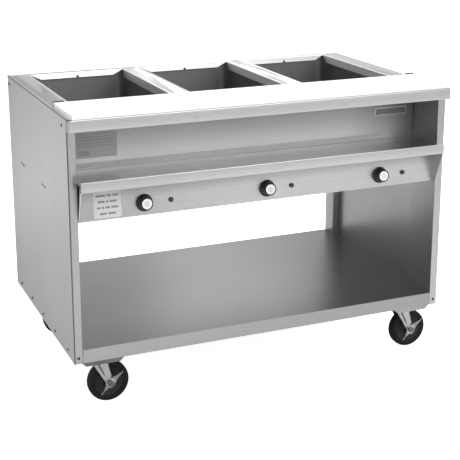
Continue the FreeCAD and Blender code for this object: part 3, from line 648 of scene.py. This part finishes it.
def deck_plate():
    """The top sheet with its beaded openings."""
    form = Form()
    deck_strips(form)
    for cx in WELL_X:
        opening_bead(form, cx)
    plate = form.piece("deck_plate", DECK, "table", "stainless", ["top_deck"], 30)
    thick = plate.modifiers.new("sheet", "SOLIDIFY")
    thick.thickness = SHEET
    thick.offset = -1.0


def deck_folds():
    """The fascia with its return, and the flange down the serving side."""
    form = Form()
    foot = DECK_TOP - FASCIA_DROP
    front = [(DECK_LOW.y + FASCIA_RETURN, foot), (DECK_LOW.y, foot)]
    front += [(DECK_LOW.y, DECK_TOP), (DECK_LOW.y + FASCIA_TOP, DECK_TOP)]
    folded(form, front, BEND, (DECK_LOW.x, DECK_HIGH.x), along_x)
    back = [(DECK_HIGH.y - BACK_TOP, DECK_TOP), (DECK_HIGH.y, DECK_TOP)]
    back.append((DECK_HIGH.y, DECK_TOP - BACK_DROP))
    inset = POST_WIDTH - SHEET
    folded(form, back, BEND, (DECK_LOW.x + inset, DECK_HIGH.x - inset), along_x)
    form.piece("deck_folds", FASCIA, "table", "stainless", ["top_deck"], 30)


def sloping_flange(form, cx, out, half_out, half_run, drop):
    """One flange of an opening, cut back on a slant at its ends; out points to it from the middle."""
    run = UP.cross(out)
    edge = Vector((cx, OPENING_MID_Y, DECK_TOP)) + out * half_out
    top = edge - UP * FLANGE_GAP
    foot = edge - out * (drop * FLANGE_SLOPE) - UP * drop
    outline = [
        top - run * (half_run - OPENING_CORNER),
        foot - run * (half_run - FLANGE_CUT),
        foot + run * (half_run - FLANGE_CUT),
        top + run * (half_run - OPENING_CORNER),
    ]
    form.prism(outline, out * SHEET)


def opening_flanges():
    """Four sloping flanges in each opening."""
    form = Form()
    for cx in WELL_X:
        for side in (-1, 1):
            sloping_flange(form, cx, RIGHT * side, OPENING_X, OPENING_Y, SIDE_FLANGE)
            sloping_flange(form, cx, FORWARD * side, OPENING_Y, OPENING_X, END_FLANGE)
    form.piece("opening_flanges", FLANGE, "table", "stainless", ["top_deck"], 30)


deck_plate()
deck_folds()
opening_flanges()

# ---- end panels
COVER_DROP = 0.006
FRONT_RETURN = 5.6 * INCH
BACK_RETURN = 2.45 * INCH
RIVETS_Y = (11.3, 22.1)
RIVET_SHIFT = 0.55
RIVET_Z = 24.95


def end_panel(which, low, high):
    """A side sheet wrapped round a front post and a back box post, with an ear and a top flange."""
    out = -1 if which == "left" else 1
    outer = low.x if out < 0 else high.x
    inner = outer - out * POST_WIDTH
    split = DECK_TOP - COVER_DROP
    wrap = [
        (inner, FRONT_Y + FRONT_RETURN),
        (inner, FRONT_Y),
        (outer, FRONT_Y),
        (outer, high.y),
        (inner, high.y),
        (inner, high.y - BACK_RETURN),
        (outer - out * 2 * SHEET, high.y - BACK_RETURN),
    ]
    cover = [(outer, split), (outer, DECK_TOP), (outer - out * DECK_INSET, DECK_TOP)]
    if out > 0:
        wrap.reverse()
        cover.reverse()
    form = Form()
    folded(form, wrap, BEND, (low.z, split), along_z)
    folded(form, cover, BEND, (low.y, high.y), along_y)
    ear_y = FRONT_Y + POST_EDGE
    ear_z = DECK_TOP - FASCIA_DROP
    ear = [(outer, low.y, ear_z), (outer, ear_y, ear_z), (outer, ear_y, split), (outer, low.y, split)]
    form.prism(ear, (-out * SHEET, 0, 0))
    form.piece(f"side_{which}", SIDES[which], "table", "stainless", [f"end_panel_{which}"], 30)


def side_rivets():
    """Flat rivet heads in pairs on both side sheets."""
    head = [(0.0, 0.0), (0.0046, 0.0), (0.0038, 0.0009), (0.0, 0.0012)]
    form = Form()
    for out, x in ((-1, LEFT_LOW.x), (1, RIGHT_HIGH.x)):
        for y in RIVETS_Y:
            for shift in (-RIVET_SHIFT, RIVET_SHIFT):
                at = (x, FRONT_Y + (y + shift) * INCH, RIVET_Z * INCH)
                form.turned(head, at, (out, 0, 0), 32)
    form.piece("side_rivets", RIVET, "table", "fastener_steel", ["panel_rivets"], 30)


end_panel("left", LEFT_LOW, LEFT_HIGH)
end_panel("right", RIGHT_LOW, RIGHT_HIGH)
side_rivets()

# ---- work ledge
LEDGE_UPTURN = 0.7 * INCH
LEDGE_FOOT = 0.75 * INCH
LEDGE_LIP = 28.4375 * INCH
LIP_THICK = 0.004


def ledge():
    """The ledge shelf with an apron and a lip at the front, and an upturned flange at the back."""
    low, high = LEDGE_LOW, LEDGE_HIGH
    floor_z = high.z - LEDGE_UPTURN
    line = [
        (low.y + LEDGE_FOOT, low.z),
        (low.y, low.z),
        (low.y, LEDGE_LIP),
        (low.y + LIP_THICK, LEDGE_LIP),
        (low.y + LIP_THICK, floor_z),
        (high.y - SHEET, floor_z),
        (high.y - SHEET, high.z),
    ]
    form = Form()
    folded(form, line, LEDGE_BEND, (low.x, high.x), along_x)
    form.piece("work_ledge", LEDGE, "table", "stainless", ["ledge_shelf"], 30)


ledge()

# ---- control knobs
KNOB_FLUTES = 20
KNOB_SKIRT_R = 1.0 * INCH
KNOB_BODY_R = 0.86 * INCH
KNOB_TOP_R = 0.77 * INCH
KNOB_FACE_R = 0.6 * INCH
KNOB_BORE_R = 0.0095
KNOB_HEIGHT = 1.03 * INCH
KNOB_BORE_DEPTH = 0.006
SKIRT = 0.0032
FLUTE_DEPTH = 0.0013
CAP_R = 0.0095
TICKS = 11
TICK_START = 120.0
TICK_SPAN = 300.0
TICK_IN = 0.0229
TICK_OUT = 0.0245
TICK_HALF = 0.00055


def knob_seat(which):
    """The middle of a knob's back, and the way that it points."""
    joint = JOINTS[f"knob_{which}_turn"]
    out = -Vector(joint["axis"])
    on_axis = Vector(joint["pos_m"])
    middle = mid(*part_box(f"knob_{which}"))
    return on_axis + out * ((middle - on_axis).dot(out) - KNOB_HEIGHT / 2), out


def fluted(radius, height, angle):
    """Presses flutes into the grip, and leaves the skirt and the face round."""
    if height < SKIRT + 0.0008 or radius < KNOB_FACE_R + 0.001:
        return radius
    fade = min(1.0, (height - SKIRT) / 0.004)
    return radius - FLUTE_DEPTH * fade * (0.5 - 0.5 * math.cos(KNOB_FLUTES * angle)) ** 0.6


def knob_grip(which, base, out):
    """The black skirt and the fluted grip, with a recess for the face disc."""
    profile = [
        (0.0, SKIRT + KNOB_BORE_DEPTH),
        (KNOB_BORE_R, SKIRT + KNOB_BORE_DEPTH),
        (KNOB_BORE_R, 0.0),
        (KNOB_SKIRT_R - 0.0008, 0.0),
        (KNOB_SKIRT_R, 0.0007),
        (KNOB_SKIRT_R, SKIRT - 0.0016),
        (KNOB_SKIRT_R - 0.0006, SKIRT - 0.0009),
        (KNOB_BODY_R + 0.0012, SKIRT - 0.0001),
        (KNOB_BODY_R + 0.0004, SKIRT + 0.0004),
        (KNOB_BODY_R, SKIRT + 0.0012),
        (KNOB_BODY_R - 0.0004, SKIRT + 0.005),
        (KNOB_TOP_R + 0.0006, KNOB_HEIGHT - 0.006),
        (KNOB_TOP_R + 0.0002, KNOB_HEIGHT - 0.0018),
        (KNOB_TOP_R - 0.0008, KNOB_HEIGHT - 0.0004),
        (KNOB_TOP_R - 0.0018, KNOB_HEIGHT),
        (KNOB_FACE_R + 0.0004, KNOB_HEIGHT),
        (KNOB_FACE_R, KNOB_HEIGHT - 0.0004),
        (KNOB_FACE_R, KNOB_HEIGHT - 0.0008),
        (0.0, KNOB_HEIGHT - 0.0008),
    ]
    form = Form()
    form.turned(profile, base, out, KNOB_FLUTES * 8, fluted)
    form.piece(f"knob_grip_{which}", KNOB, f"knob_{which}", "knob_black", [f"knob_{which}"], 40)


def knob_face(which, base, out):
    """The bright face disc with two turned grooves, and the flat cap in its middle."""
    face = base + out * (KNOB_HEIGHT - 0.0006)
    disc = [
        (0.0, 0.00045),
        (0.0042, 0.00045),
        (0.0047, 0.0002),
        (0.0056, 0.0002),
        (0.0061, 0.00045),
        (0.0112, 0.00045),
        (0.0117, 0.0001),
        (0.0122, 0.0001),
        (0.0127, 0.0005),
        (KNOB_FACE_R - 0.0010, 0.00058),
        (KNOB_FACE_R - 0.0003, 0.0003),
        (KNOB_FACE_R - 0.0003, -0.0001),
        (0.0, -0.0001),
    ]
    form = Form()
    form.turned(disc, face, out, 64)
    form.piece(f"knob_face_{which}", KNOB_FACE, f"knob_{which}", "plate_aluminium", (), 25)
    cap = [(0.0, 0.0004), (CAP_R, 0.0004), (CAP_R - 0.0003, 0.00057), (0.0, 0.00057)]
    form = Form()
    form.turned(cap, face, out, 48)
    form.piece(f"knob_cap_{which}", KNOB_CAP, f"knob_{which}", "plate_aluminium", (), 25)


def knob_dial(which, base, out):
    """A dial of plain ticks on the skirt."""
    up = out.cross(RIGHT)
    form = Form()
    for k in range(TICKS):
        angle = math.radians(TICK_START + TICK_SPAN * k / (TICKS - 1))
        ray = RIGHT * math.cos(angle) + up * math.sin(angle)
        inner = base + ray * TICK_IN + out * (SKIRT - 0.0007)
        outer = base + ray * TICK_OUT + out * (SKIRT - 0.00085)
        half = out.cross(ray) * TICK_HALF
        form.prism([inner - half, outer - half, outer + half, inner + half], out * 0.00025)
    form.piece(f"knob_dial_{which}", TICK, f"knob_{which}", "plate_aluminium", (), 30)


for which in WELLS:
    seat, seat_out = knob_seat(which)
    knob_grip(which, seat, seat_out)
    knob_face(which, seat, seat_out)
    knob_dial(which, seat, seat_out)

# ---- labels
LEAN = math.radians(6.0)
PANEL_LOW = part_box("control_panel")[0]
PANEL_FOOT = Vector((MID_X, PANEL_LOW.y, PANEL_LOW.z))
PANEL_UP = Vector((0, math.sin(LEAN), math.cos(LEAN)))
PANEL_OUT = Vector((0, -math.cos(LEAN), math.sin(LEAN)))
PANEL_AXES = (RIGHT, PANEL_UP, PANEL_OUT)
WALL_AXES = (RIGHT, UP, FORWARD)

# The sticker's bars stand for lines of words: the lengths of the dashes in each row, in inches.
STICKER_ROWS = ((1.1, 0.5, 0.7), (0.8, 0.3, 0.8), (0.4, 0.3, 0.5, 0.8), (0.8, 0.9))
STICKER_GAP = 0.16
STICKER_TOP = 1.02
STICKER_PITCH = 0.68
STICKER_AT = (-19.4 * INCH, 1.75 * INCH)
STICKER_SIZE = (3.2 * INCH, 3.05 * INCH)
BAR_HEIGHT = 0.24 * INCH


def card(form, centre, axes, size, corner, thickness, lift=0.0):
    """A thin card with round corners, standing off a surface by its lift; axes are right, up and out."""
    right, up, out = axes
    outline = rounded(size[0] / 2, size[1] / 2, corner)
    form.prism([centre + right * x + up * y + out * lift for x, y in outline], out * thickness)


def panel_sticker():
    """The pale sticker at the left of the control panel, with plain grey bars in place of its words."""
    centre = PANEL_FOOT + RIGHT * STICKER_AT[0] + PANEL_UP * STICKER_AT[1]
    form = Form()
    card(form, centre, PANEL_AXES, STICKER_SIZE, 0.003, 0.00025, 0.00005)
    form.piece("panel_sticker", STICKER, "table", "plate_aluminium")
    form = Form()
    for k, dashes in enumerate(STICKER_ROWS):
        x = -(sum(dashes) + STICKER_GAP * (len(dashes) - 1)) / 2
        row = centre + PANEL_UP * ((STICKER_TOP - STICKER_PITCH * k) * INCH)
        for length in dashes:
            at = row + RIGHT * ((x + length / 2) * INCH)
            card(form, at, PANEL_AXES, (length * INCH, BAR_HEIGHT), 0.0008, 0.0001, 0.00033)
            x += length + STICKER_GAP
    form.piece("panel_sticker_bars", BAR, "table", "plate_aluminium")


def wall_card(name, x0, x1, z0, z1, material, thickness, corner):
    """A card on the back wall of the compartment, from inches from the middle and the floor."""
    centre = Vector((MID_X + mid(x0, x1) * INCH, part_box("compartment_back")[0].y, mid(z0, z1) * INCH))
    form = Form()
    card(form, centre, WALL_AXES, ((x1 - x0) * INCH, (z1 - z0) * INCH), corner, thickness)
    form.piece(name, material, "table", "plate_aluminium")


def data_label():
    """The faint data label on the compartment wall, with plain rows and a block in place of its words."""
    wall_card("data_label", -21.5, -16.6, 29.25, 32.6, DATA_LABEL, 0.0002, 0.002)
    wall_card("data_label_block", -21.2, -19.9, 29.55, 30.1, DATA_MARK, 0.00035, 0.0005)
    for row in range(5):
        top = 32.1 - 0.36 * row
        end = -17.0 - 0.35 * (row % 2)
        wall_card(f"data_label_row_{row}", -21.2, end, top - 0.11, top, DATA_MARK, 0.00035, 0.0005)


def name_plate():
    """A blank framed plate at the right of the compartment wall."""
    low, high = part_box("name_plate")
    centre = Vector((mid(low.x, high.x), high.y, mid(low.z, high.z)))
    size = (high.x - low.x, high.z - low.z)
    frame_width = 0.003
    form = Form()
    card(form, centre, WALL_AXES, size, 0.002, 0.0007)
    form.piece("name_plate_base", PLATE, "table", "plate_aluminium", ["name_plate"], 30, 0.0002)
    form = Form()
    field = (size[0] - 2 * frame_width, size[1] - 2 * frame_width)
    card(form, centre, WALL_AXES, field, 0.0015, 0.00025, 0.00072)
    form.piece("name_plate_field", PLATE_FIELD, "table", "plate_aluminium")


panel_sticker()
data_label()
name_plate()

# ---- caster wheels
WHEEL_R = 2.5 * INCH
WHEEL_HALF = 1.25 * INCH / 2
HUB_HALF = 1.4 * INCH / 2
AXLE_R = 0.00635
AXLE_BORE_R = AXLE_R + 0.0001


def pivot(joint):
    return Vector(JOINTS[joint]["pos_m"])


def both_sides(side):
    """A profile of (radius, height) pairs followed by its mirror image."""
    return side + [(radius, -height) for radius, height in reversed(side)]


def tyre(where):
    """A hard rubber tyre with a groove round each side."""
    side = [
        (WHEEL_R - 0.0190, WHEEL_HALF - 0.0036),
        (WHEEL_R - 0.0176, WHEEL_HALF - 0.0034),
        (WHEEL_R - 0.0160, WHEEL_HALF - 0.0012),
        (WHEEL_R - 0.0140, WHEEL_HALF - 0.0004),
        (WHEEL_R - 0.0105, WHEEL_HALF),
        (WHEEL_R - 0.0098, WHEEL_HALF - 0.0007),
        (WHEEL_R - 0.0088, WHEEL_HALF - 0.0007),
        (WHEEL_R - 0.0080, WHEEL_HALF - 0.0002),
        (WHEEL_R - 0.0055, WHEEL_HALF - 0.0008),
        (WHEEL_R - 0.0032, WHEEL_HALF - 0.0022),
        (WHEEL_R - 0.0014, WHEEL_HALF - 0.0044),
        (WHEEL_R - 0.0004, WHEEL_HALF - 0.0072),
        (WHEEL_R, WHEEL_HALF - 0.0100),
    ]
    node = f"caster_wheel_{where}"
    form = Form()
    form.turned(both_sides(side), pivot(f"roll_{where}"), (0, 1, 0), 96, hollow=True)
    form.piece(f"tyre_{where}", WHEEL, f"wheel_{where}", "wheel_rubber", [node], 40)


def wheel_core(where):
    """The moulded core of a wheel, with a stepped hub."""
    side = [
        (AXLE_BORE_R, HUB_HALF),
        (0.0138, HUB_HALF),
        (0.0150, HUB_HALF - 0.0008),
        (0.0158, WHEEL_HALF - 0.0035),
        (0.0185, WHEEL_HALF - 0.0060),
        (0.0260, WHEEL_HALF - 0.0066),
        (WHEEL_R - 0.0230, WHEEL_HALF - 0.0058),
        (WHEEL_R - 0.0205, WHEEL_HALF - 0.0040),
        (WHEEL_R - 0.0188, WHEEL_HALF - 0.0038),
    ]
    form = Form()
    form.turned(both_sides(side), pivot(f"roll_{where}"), (0, 1, 0), 72, hollow=True)
    form.piece(f"wheel_core_{where}", WHEEL_CORE, f"wheel_{where}", "wheel_rubber", (), 40)


# ---- caster forks
FORK_SHEET = 0.003
FORK_RIB = 0.0022
FORK_REAR = 0.0228
FORK_FRONT = 0.0248
CROWN_R = 0.0297
KING_PIN_R = 0.0061
LEG_Y = HUB_HALF + 0.001
LEG_PAD = 0.0125
LEG_ROWS = 14
CAP_ROWS = 6
LEG_COLUMNS = 26
GROOVE_HALF = 0.075


def leg_point(u, row, swivel, axle, top):
    """A point on the outer face of a leg as (x, z, relief); u runs across it, row down it."""
    if row <= LEG_ROWS:
        v = row / LEG_ROWS
        ease = v ** 0.85
        left = (swivel.x - 0.023) * (1 - v) + (axle.x - LEG_PAD) * v
        right = (swivel.x + 0.025) * (1 - ease) + (axle.x + LEG_PAD) * ease
        z = top * (1 - v) + axle.z * v
    else:
        v = 1.0
        angle = math.radians(90) * (row - LEG_ROWS) / CAP_ROWS
        reach = LEG_PAD * math.cos(angle) + 0.0002
        left = axle.x - reach
        right = axle.x + reach
        z = axle.z - LEG_PAD * math.sin(angle)
    groove = math.exp(-((u - 0.36) / GROOVE_HALF) ** 2) * (1 - smooth_step(v, 0.62, 0.85))
    rolled = smooth_step(u, 0.0, 0.07) * smooth_step(1 - u, 0.0, 0.07)
    relief = FORK_RIB * (1 - groove) * rolled * smooth_step(v, -0.2, 0.1)
    return left + (right - left) * u, z, relief


def fork_leg(form, side, swivel, axle, top):
    """One raked leg with a groove pressed in it and a round end."""
    rings = []
    for row in range(LEG_ROWS + CAP_ROWS + 1):
        outer = []
        inner = []
        for column in range(LEG_COLUMNS + 1):
            x, z, relief = leg_point(column / LEG_COLUMNS, row, swivel, axle, top)
            outer.append(Vector((x, axle.y + side * (LEG_Y + FORK_SHEET + relief), z)))
            inner.append(Vector((x, axle.y + side * (LEG_Y + relief), z)))
        rings.append(outer + inner[::-1])
    form.sheet(rings)


def fork_crown(form, swivel, axle, top):
    """The round crown cap, and the flat that joins it to each leg."""
    low = top - FORK_SHEET
    cap = [
        (KING_PIN_R, low),
        (0.026, low),
        (0.0285, low + 0.0006),
        (CROWN_R, low + 0.0014),
        (CROWN_R, top - 0.0006),
        (CROWN_R - 0.0007, top),
        (KING_PIN_R, top),
    ]
    form.turned(cap, (swivel.x, swivel.y, 0), (0, 0, 1), 64, hollow=True)
    for side in (-1, 1):
        leg_y = axle.y + side * (LEG_Y + FORK_SHEET)
        crown_y = swivel.y + side * 0.012
        flat = [
            (swivel.x - FORK_REAR, leg_y, low),
            (swivel.x + FORK_FRONT, leg_y, low),
            (swivel.x + FORK_FRONT, crown_y, low),
            (swivel.x - FORK_REAR, crown_y, low),
        ]
        form.prism(flat, (0, 0, FORK_SHEET - 0.0004))


def fork(where):
    """A pressed swivel fork: a crown cap and two legs."""
    swivel = pivot(f"swivel_{where}")
    axle = pivot(f"roll_{where}")
    node = f"caster_fork_{where}"
    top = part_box(node)[1].z
    form = Form()
    for side in (-1, 1):
        fork_leg(form, side, swivel, axle, top)
    fork_crown(form, swivel, axle, top)
    form.piece(f"fork_{where}", ZINC, f"fork_{where}", "zinc", [node], 50)


def fork_groove(where):
    """A dark strip of painted shade on the floor of the groove pressed in each leg."""
    swivel = pivot(f"swivel_{where}")
    axle = pivot(f"roll_{where}")
    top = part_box(f"caster_fork_{where}")[1].z
    form = Form()
    for side in (-1, 1):
        rings = []
        for row in range(1, LEG_ROWS - 2):
            half = GROOVE_HALF * (1 - smooth_step(row / LEG_ROWS, 0.5, 0.95))
            across = (0.34 - half, 0.34, 0.34 + half)
            ring = []
            for proud, us in ((0.00025, across), (-0.0003, across[::-1])):
                for u in us:
                    x, z, relief = leg_point(u, row, swivel, axle, top)
                    ring.append(Vector((x, axle.y + side * (LEG_Y + FORK_SHEET + relief + proud), z)))
            rings.append(ring)
        form.loft(rings)
    form.piece(f"fork_groove_{where}", GROOVE_SHADE, f"fork_{where}", "zinc", (), 50)


# ---- caster axles
AXLE_HEAD = 0.007
AXLE_NUT = 0.008
HEAD_FLANGE = 0.0030
HEAD_RISE = 0.0024
HEAD_R = 0.0082
NUT_R = 0.0108
SLOT_HALF = 0.0016
SLOT_TURN = math.radians(42)
ARC_STEPS = 16


def slotted_axle(where):
    """The axle bolt with a slotted round head outside and a hex nut inside."""
    axle = pivot(f"roll_{where}")
    node = f"caster_axle_{where}"
    low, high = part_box(node)
    start = low.y + AXLE_HEAD
    end = high.y - AXLE_NUT
    shank = [(0.0, 0.0), (AXLE_R, 0.0), (AXLE_R, end - start), (0.0, end - start)]
    head = [(0.0, -HEAD_FLANGE), (0.0092, -HEAD_FLANGE), (0.0098, -HEAD_RISE)]
    head += [(0.0098, -0.0004), (0.0094, 0.0), (0.0, 0.0)]
    nut = [(0.0, 0.0), (NUT_R - 0.0008, 0.0), (NUT_R, 0.001)]
    nut += [(NUT_R, AXLE_NUT - 0.001), (NUT_R - 0.0008, AXLE_NUT), (0.0, AXLE_NUT)]
    form = Form()
    form.turned(shank, (axle.x, start, axle.z), (0, 1, 0), 32)
    form.turned(head, (axle.x, start, axle.z), (0, 1, 0), 40)
    lean = math.asin(SLOT_HALF / HEAD_R)
    for way in (0.0, math.pi):
        crescent = []
        for k in range(ARC_STEPS + 1):
            angle = SLOT_TURN + way + lean + (math.pi - 2 * lean) * k / ARC_STEPS
            x = axle.x + HEAD_R * math.cos(angle)
            z = axle.z + HEAD_R * math.sin(angle)
            crescent.append((x, start - HEAD_FLANGE, z))
        form.prism(crescent, (0, -HEAD_RISE, 0))
    form.turned(nut, (axle.x, end, axle.z), (0, 1, 0), 6)
    form.piece(f"axle_bolt_{where}", AXLE, f"fork_{where}", "zinc", [node], 30, 0.0003)


# ---- caster brakes
ARM_TURN = 42.0
TAIL_TURN = -133.0
ARM_START = 0.0125
ARM_END = 0.0430
ARM_RIM = 0.0016
ARM_STEPS = 12
LEVER_SHEET = 0.0014
HOOK_R = 0.0036


def lever_axes(where, degrees):
    """A function that places a point by its distance along an arm, across it and out from the fork."""
    axle = pivot(f"roll_{where}")
    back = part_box(f"brake_lever_{where}")[1].y
    c = math.cos(math.radians(degrees))
    s = math.sin(math.radians(degrees))

    def at(along, across, out):
        return Vector((axle.x + along * c - across * s, back - out, axle.z + along * s + across * c))

    return at


def brake_cup(where):
    """The rimmed cup of a brake lever, round the head of the axle."""
    cup = [
        (AXLE_BORE_R, 0.0),
        (0.0128, 0.0),
        (0.0142, 0.0004),
        (0.0150, 0.0014),
        (0.0152, 0.0055),
        (0.0148, 0.0062),
        (0.0141, 0.0062),
        (0.0137, 0.0055),
        (0.0134, 0.0022),
        (0.0124, LEVER_SHEET),
        (AXLE_BORE_R, LEVER_SHEET),
    ]
    axle = pivot(f"roll_{where}")
    node = f"brake_lever_{where}"
    form = Form()
    form.turned(cup, (axle.x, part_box(node)[1].y, axle.z), FORWARD, 64, hollow=True)
    form.piece(f"brake_cup_{where}", BRAKE_CUP, f"brake_{where}", "zinc", [node], 35)


def brake_arm(form, at):
    """A tapering arm with upturned edges and a hooked end."""
    rings = []
    for k in range(ARM_STEPS + 1):
        t = k / ARM_STEPS
        along = ARM_START + (ARM_END - ARM_START) * t
        half = 0.0078 * (1 - t) ** 1.5 + 0.0030
        out = LEVER_SHEET + 0.0036 * smooth_step(t, 0.3, 0.9)
        rings.append(
            [
                at(along, -half, out + ARM_RIM),
                at(along, -half + 0.0012, out),
                at(along, half - 0.0012, out),
                at(along, half, out + ARM_RIM),
                at(along, half, out + ARM_RIM + 0.0012),
                at(along, half - 0.0018, out + LEVER_SHEET),
                at(along, -half + 0.0018, out + LEVER_SHEET),
                at(along, -half, out + ARM_RIM + 0.0012),
            ]
        )
    form.loft(rings)
    hook = []
    for k in range(9):
        turn = math.radians(-70 + 20 * k)
        along = ARM_END + 0.0044 + HOOK_R * math.sin(turn)
        hook.append(at(along, HOOK_R * (1 - math.cos(turn)) - 0.002, 0.0072))
    form.tube(hook, 0.0013)


def brake_tail(form, at):
    """The short tail on the other side of the axle, with a round bar along it."""
    thick = 0.0026
    rings = []
    for along, half, out in ((0.0125, 0.0058, 0.0014), (0.018, 0.0048, 0.0020), (0.0245, 0.0042, 0.0034)):
        corners = ((-half, out), (half, out), (half, out + thick), (-half, out + thick))
        rings.append([at(along, across, rise) for across, rise in corners])
    form.loft(rings)
    form.tube([at(0.024, 0, 0.0045), at(0.034, 0, 0.0052), at(0.043, 0.0005, 0.0066)], 0.0017)


def brake_lever(where):
    """The two arms of a pressed brake lever."""
    form = Form()
    brake_arm(form, lever_axes(where, ARM_TURN))
    brake_tail(form, lever_axes(where, TAIL_TURN))
    form.piece(f"brake_{where}", BRAKE, f"brake_{where}", "zinc", [f"brake_lever_{where}"], 35)


for where in ("front_left", "front_right", "rear_left", "rear_right"):
    tyre(where)
    wheel_core(where)
    fork(where)
    fork_groove(where)
    slotted_axle(where)
for where in ("front_left", "front_right"):
    brake_cup(where)
    brake_lever(where)

# ---- floor and studio
FLOOR_HALF = 40.0
FLOOR_DROP = 0.0005
FLOOR_TONE = 0.85
FLOOR_GLOW = 0.84
SHADE_AT = (-0.9, 0.8, 0.0)
SHADE_TONE = 0.55
SHADE_REACH = (0.3, 1.5)
BRIGHT_SIDE = Vector((0.45, -0.75, 0.45)).normalized()


def camera_ray(tree):
    return tree.nodes.new("ShaderNodeLightPath").outputs["Is Camera Ray"]


def by_ray(tree, reflected, seen):
    """A node's value where light and reflections meet a surface, and a number where the camera does."""
    mix = tree.nodes.new("ShaderNodeMix")
    tree.links.new(camera_ray(tree), mix.inputs["Factor"])
    tree.links.new(reflected, mix.inputs["A"])
    mix.inputs["B"].default_value = seen
    return mix.outputs["Result"]


def floor_material():
    """A pale floor that glows for the camera only; reflections see a patch of painted shade behind the
    left end.
    """
    material, tree, shader = node_material("pale_floor")
    shader.inputs["Roughness"].default_value = 0.9
    shader.inputs["Specular IOR Level"].default_value = 0.1
    shader.inputs["Emission Color"].default_value = (1, 1, 1, 1)
    glow = ramp(tree, camera_ray(tree), 0.0, FLOOR_GLOW, 0.0, 1.0)
    tree.links.new(glow, shader.inputs["Emission Strength"])
    shade = ramp(tree, distance_from(tree, SHADE_AT), SHADE_TONE, FLOOR_TONE, *SHADE_REACH)
    tree.links.new(by_ray(tree, shade, FLOOR_TONE), shader.inputs["Base Color"])
    return material


def studio_floor():
    half = FLOOR_HALF
    mesh = bpy.data.meshes.new("floor")
    corners = [(-half, -half, 0), (half, -half, 0), (half, half, 0), (-half, half, 0)]
    mesh.from_pydata(corners, [], [(0, 1, 2, 3)])
    floor = bpy.data.objects.new("floor", mesh)
    bpy.context.scene.collection.objects.link(floor)
    floor.location.z = -FLOOR_DROP
    paint(floor, floor_material())


def studio_world():
    """A white surround that lights the unit more from its bright side."""
    world = bpy.data.worlds.new("studio")
    bpy.context.scene.world = world
    world.use_nodes = True
    tree = world.node_tree
    background = next(node for node in tree.nodes if node.type == "BACKGROUND")
    background.inputs["Color"].default_value = (1, 1, 1, 1)
    around = tree.nodes.new("ShaderNodeTexCoord")
    facing = tree.nodes.new("ShaderNodeVectorMath")
    facing.operation = "DOT_PRODUCT"
    facing.inputs[1].default_value = BRIGHT_SIDE
    tree.links.new(around.outputs["Generated"], facing.inputs[0])
    sky = ramp(tree, facing.outputs["Value"], 0.40, 1.0, -0.9, 0.9)
    tree.links.new(by_ray(tree, sky, 1.05), background.inputs["Strength"])


def area_light(name, location, target, size, energy, seen=True):
    """A soft rectangular light, which the camera sees or doesn't."""
    data = bpy.data.lights.new(name, "AREA")
    data.shape = "RECTANGLE"
    data.size, data.size_y = size
    data.energy = energy
    light = bpy.data.objects.new(name, data)
    bpy.context.scene.collection.objects.link(light)
    light.location = location
    light.rotation_euler = (Vector(target) - Vector(location)).to_track_quat("-Z", "Y").to_euler()
    light.visible_camera = seen


studio_floor()
studio_world()
area_light("top_soft", (0.3, 0.2, 3.2), (0, 0, 0.5), (3.0, 3.0), 60)
area_light("front_soft", (0.7, -3.0, 2.7), (0, 0, 0.5), (2.6, 1.6), 38)
area_light("back_card", (1.1, 2.5, 1.8), (0, 0, 0.9), (0.9, 0.9), 3.5, seen=False)
area_light("back_wide", (0.9, 3.2, 2.2), (0, 0, 0.9), (4.0, 1.5), 5, seen=False)
area_light("left_soft", (-3.0, -0.6, 1.3), (-0.6, -0.3, 0.9), (1.5, 1.5), 12)
area_light("front_card", (1.2, -2.9, 1.5), (0, 0, 0.9), (1.8, 0.9), 7, seen=False)

# ---- camera
CAMERA_AT = (MID_X - 54.2 * INCH, FRONT_Y - 116.2 * INCH, 61.46 * INCH)
CAMERA_PITCH = math.radians(90 - 14.53)
CAMERA_YAW = math.radians(-22.99)
SENSOR = 36.0
LENS = 88.9043
SHIFT_Y = -0.15

camera_data = bpy.data.cameras.new("camera")
camera_data.sensor_width = SENSOR
camera_data.lens = LENS
camera_data.shift_y = SHIFT_Y
camera = bpy.data.objects.new("camera", camera_data)
bpy.context.scene.collection.objects.link(camera)
camera.location = CAMERA_AT
camera.rotation_euler = (CAMERA_PITCH, 0, CAMERA_YAW)
bpy.context.scene.camera = camera
bpy.context.scene.view_settings.view_transform = "Standard"
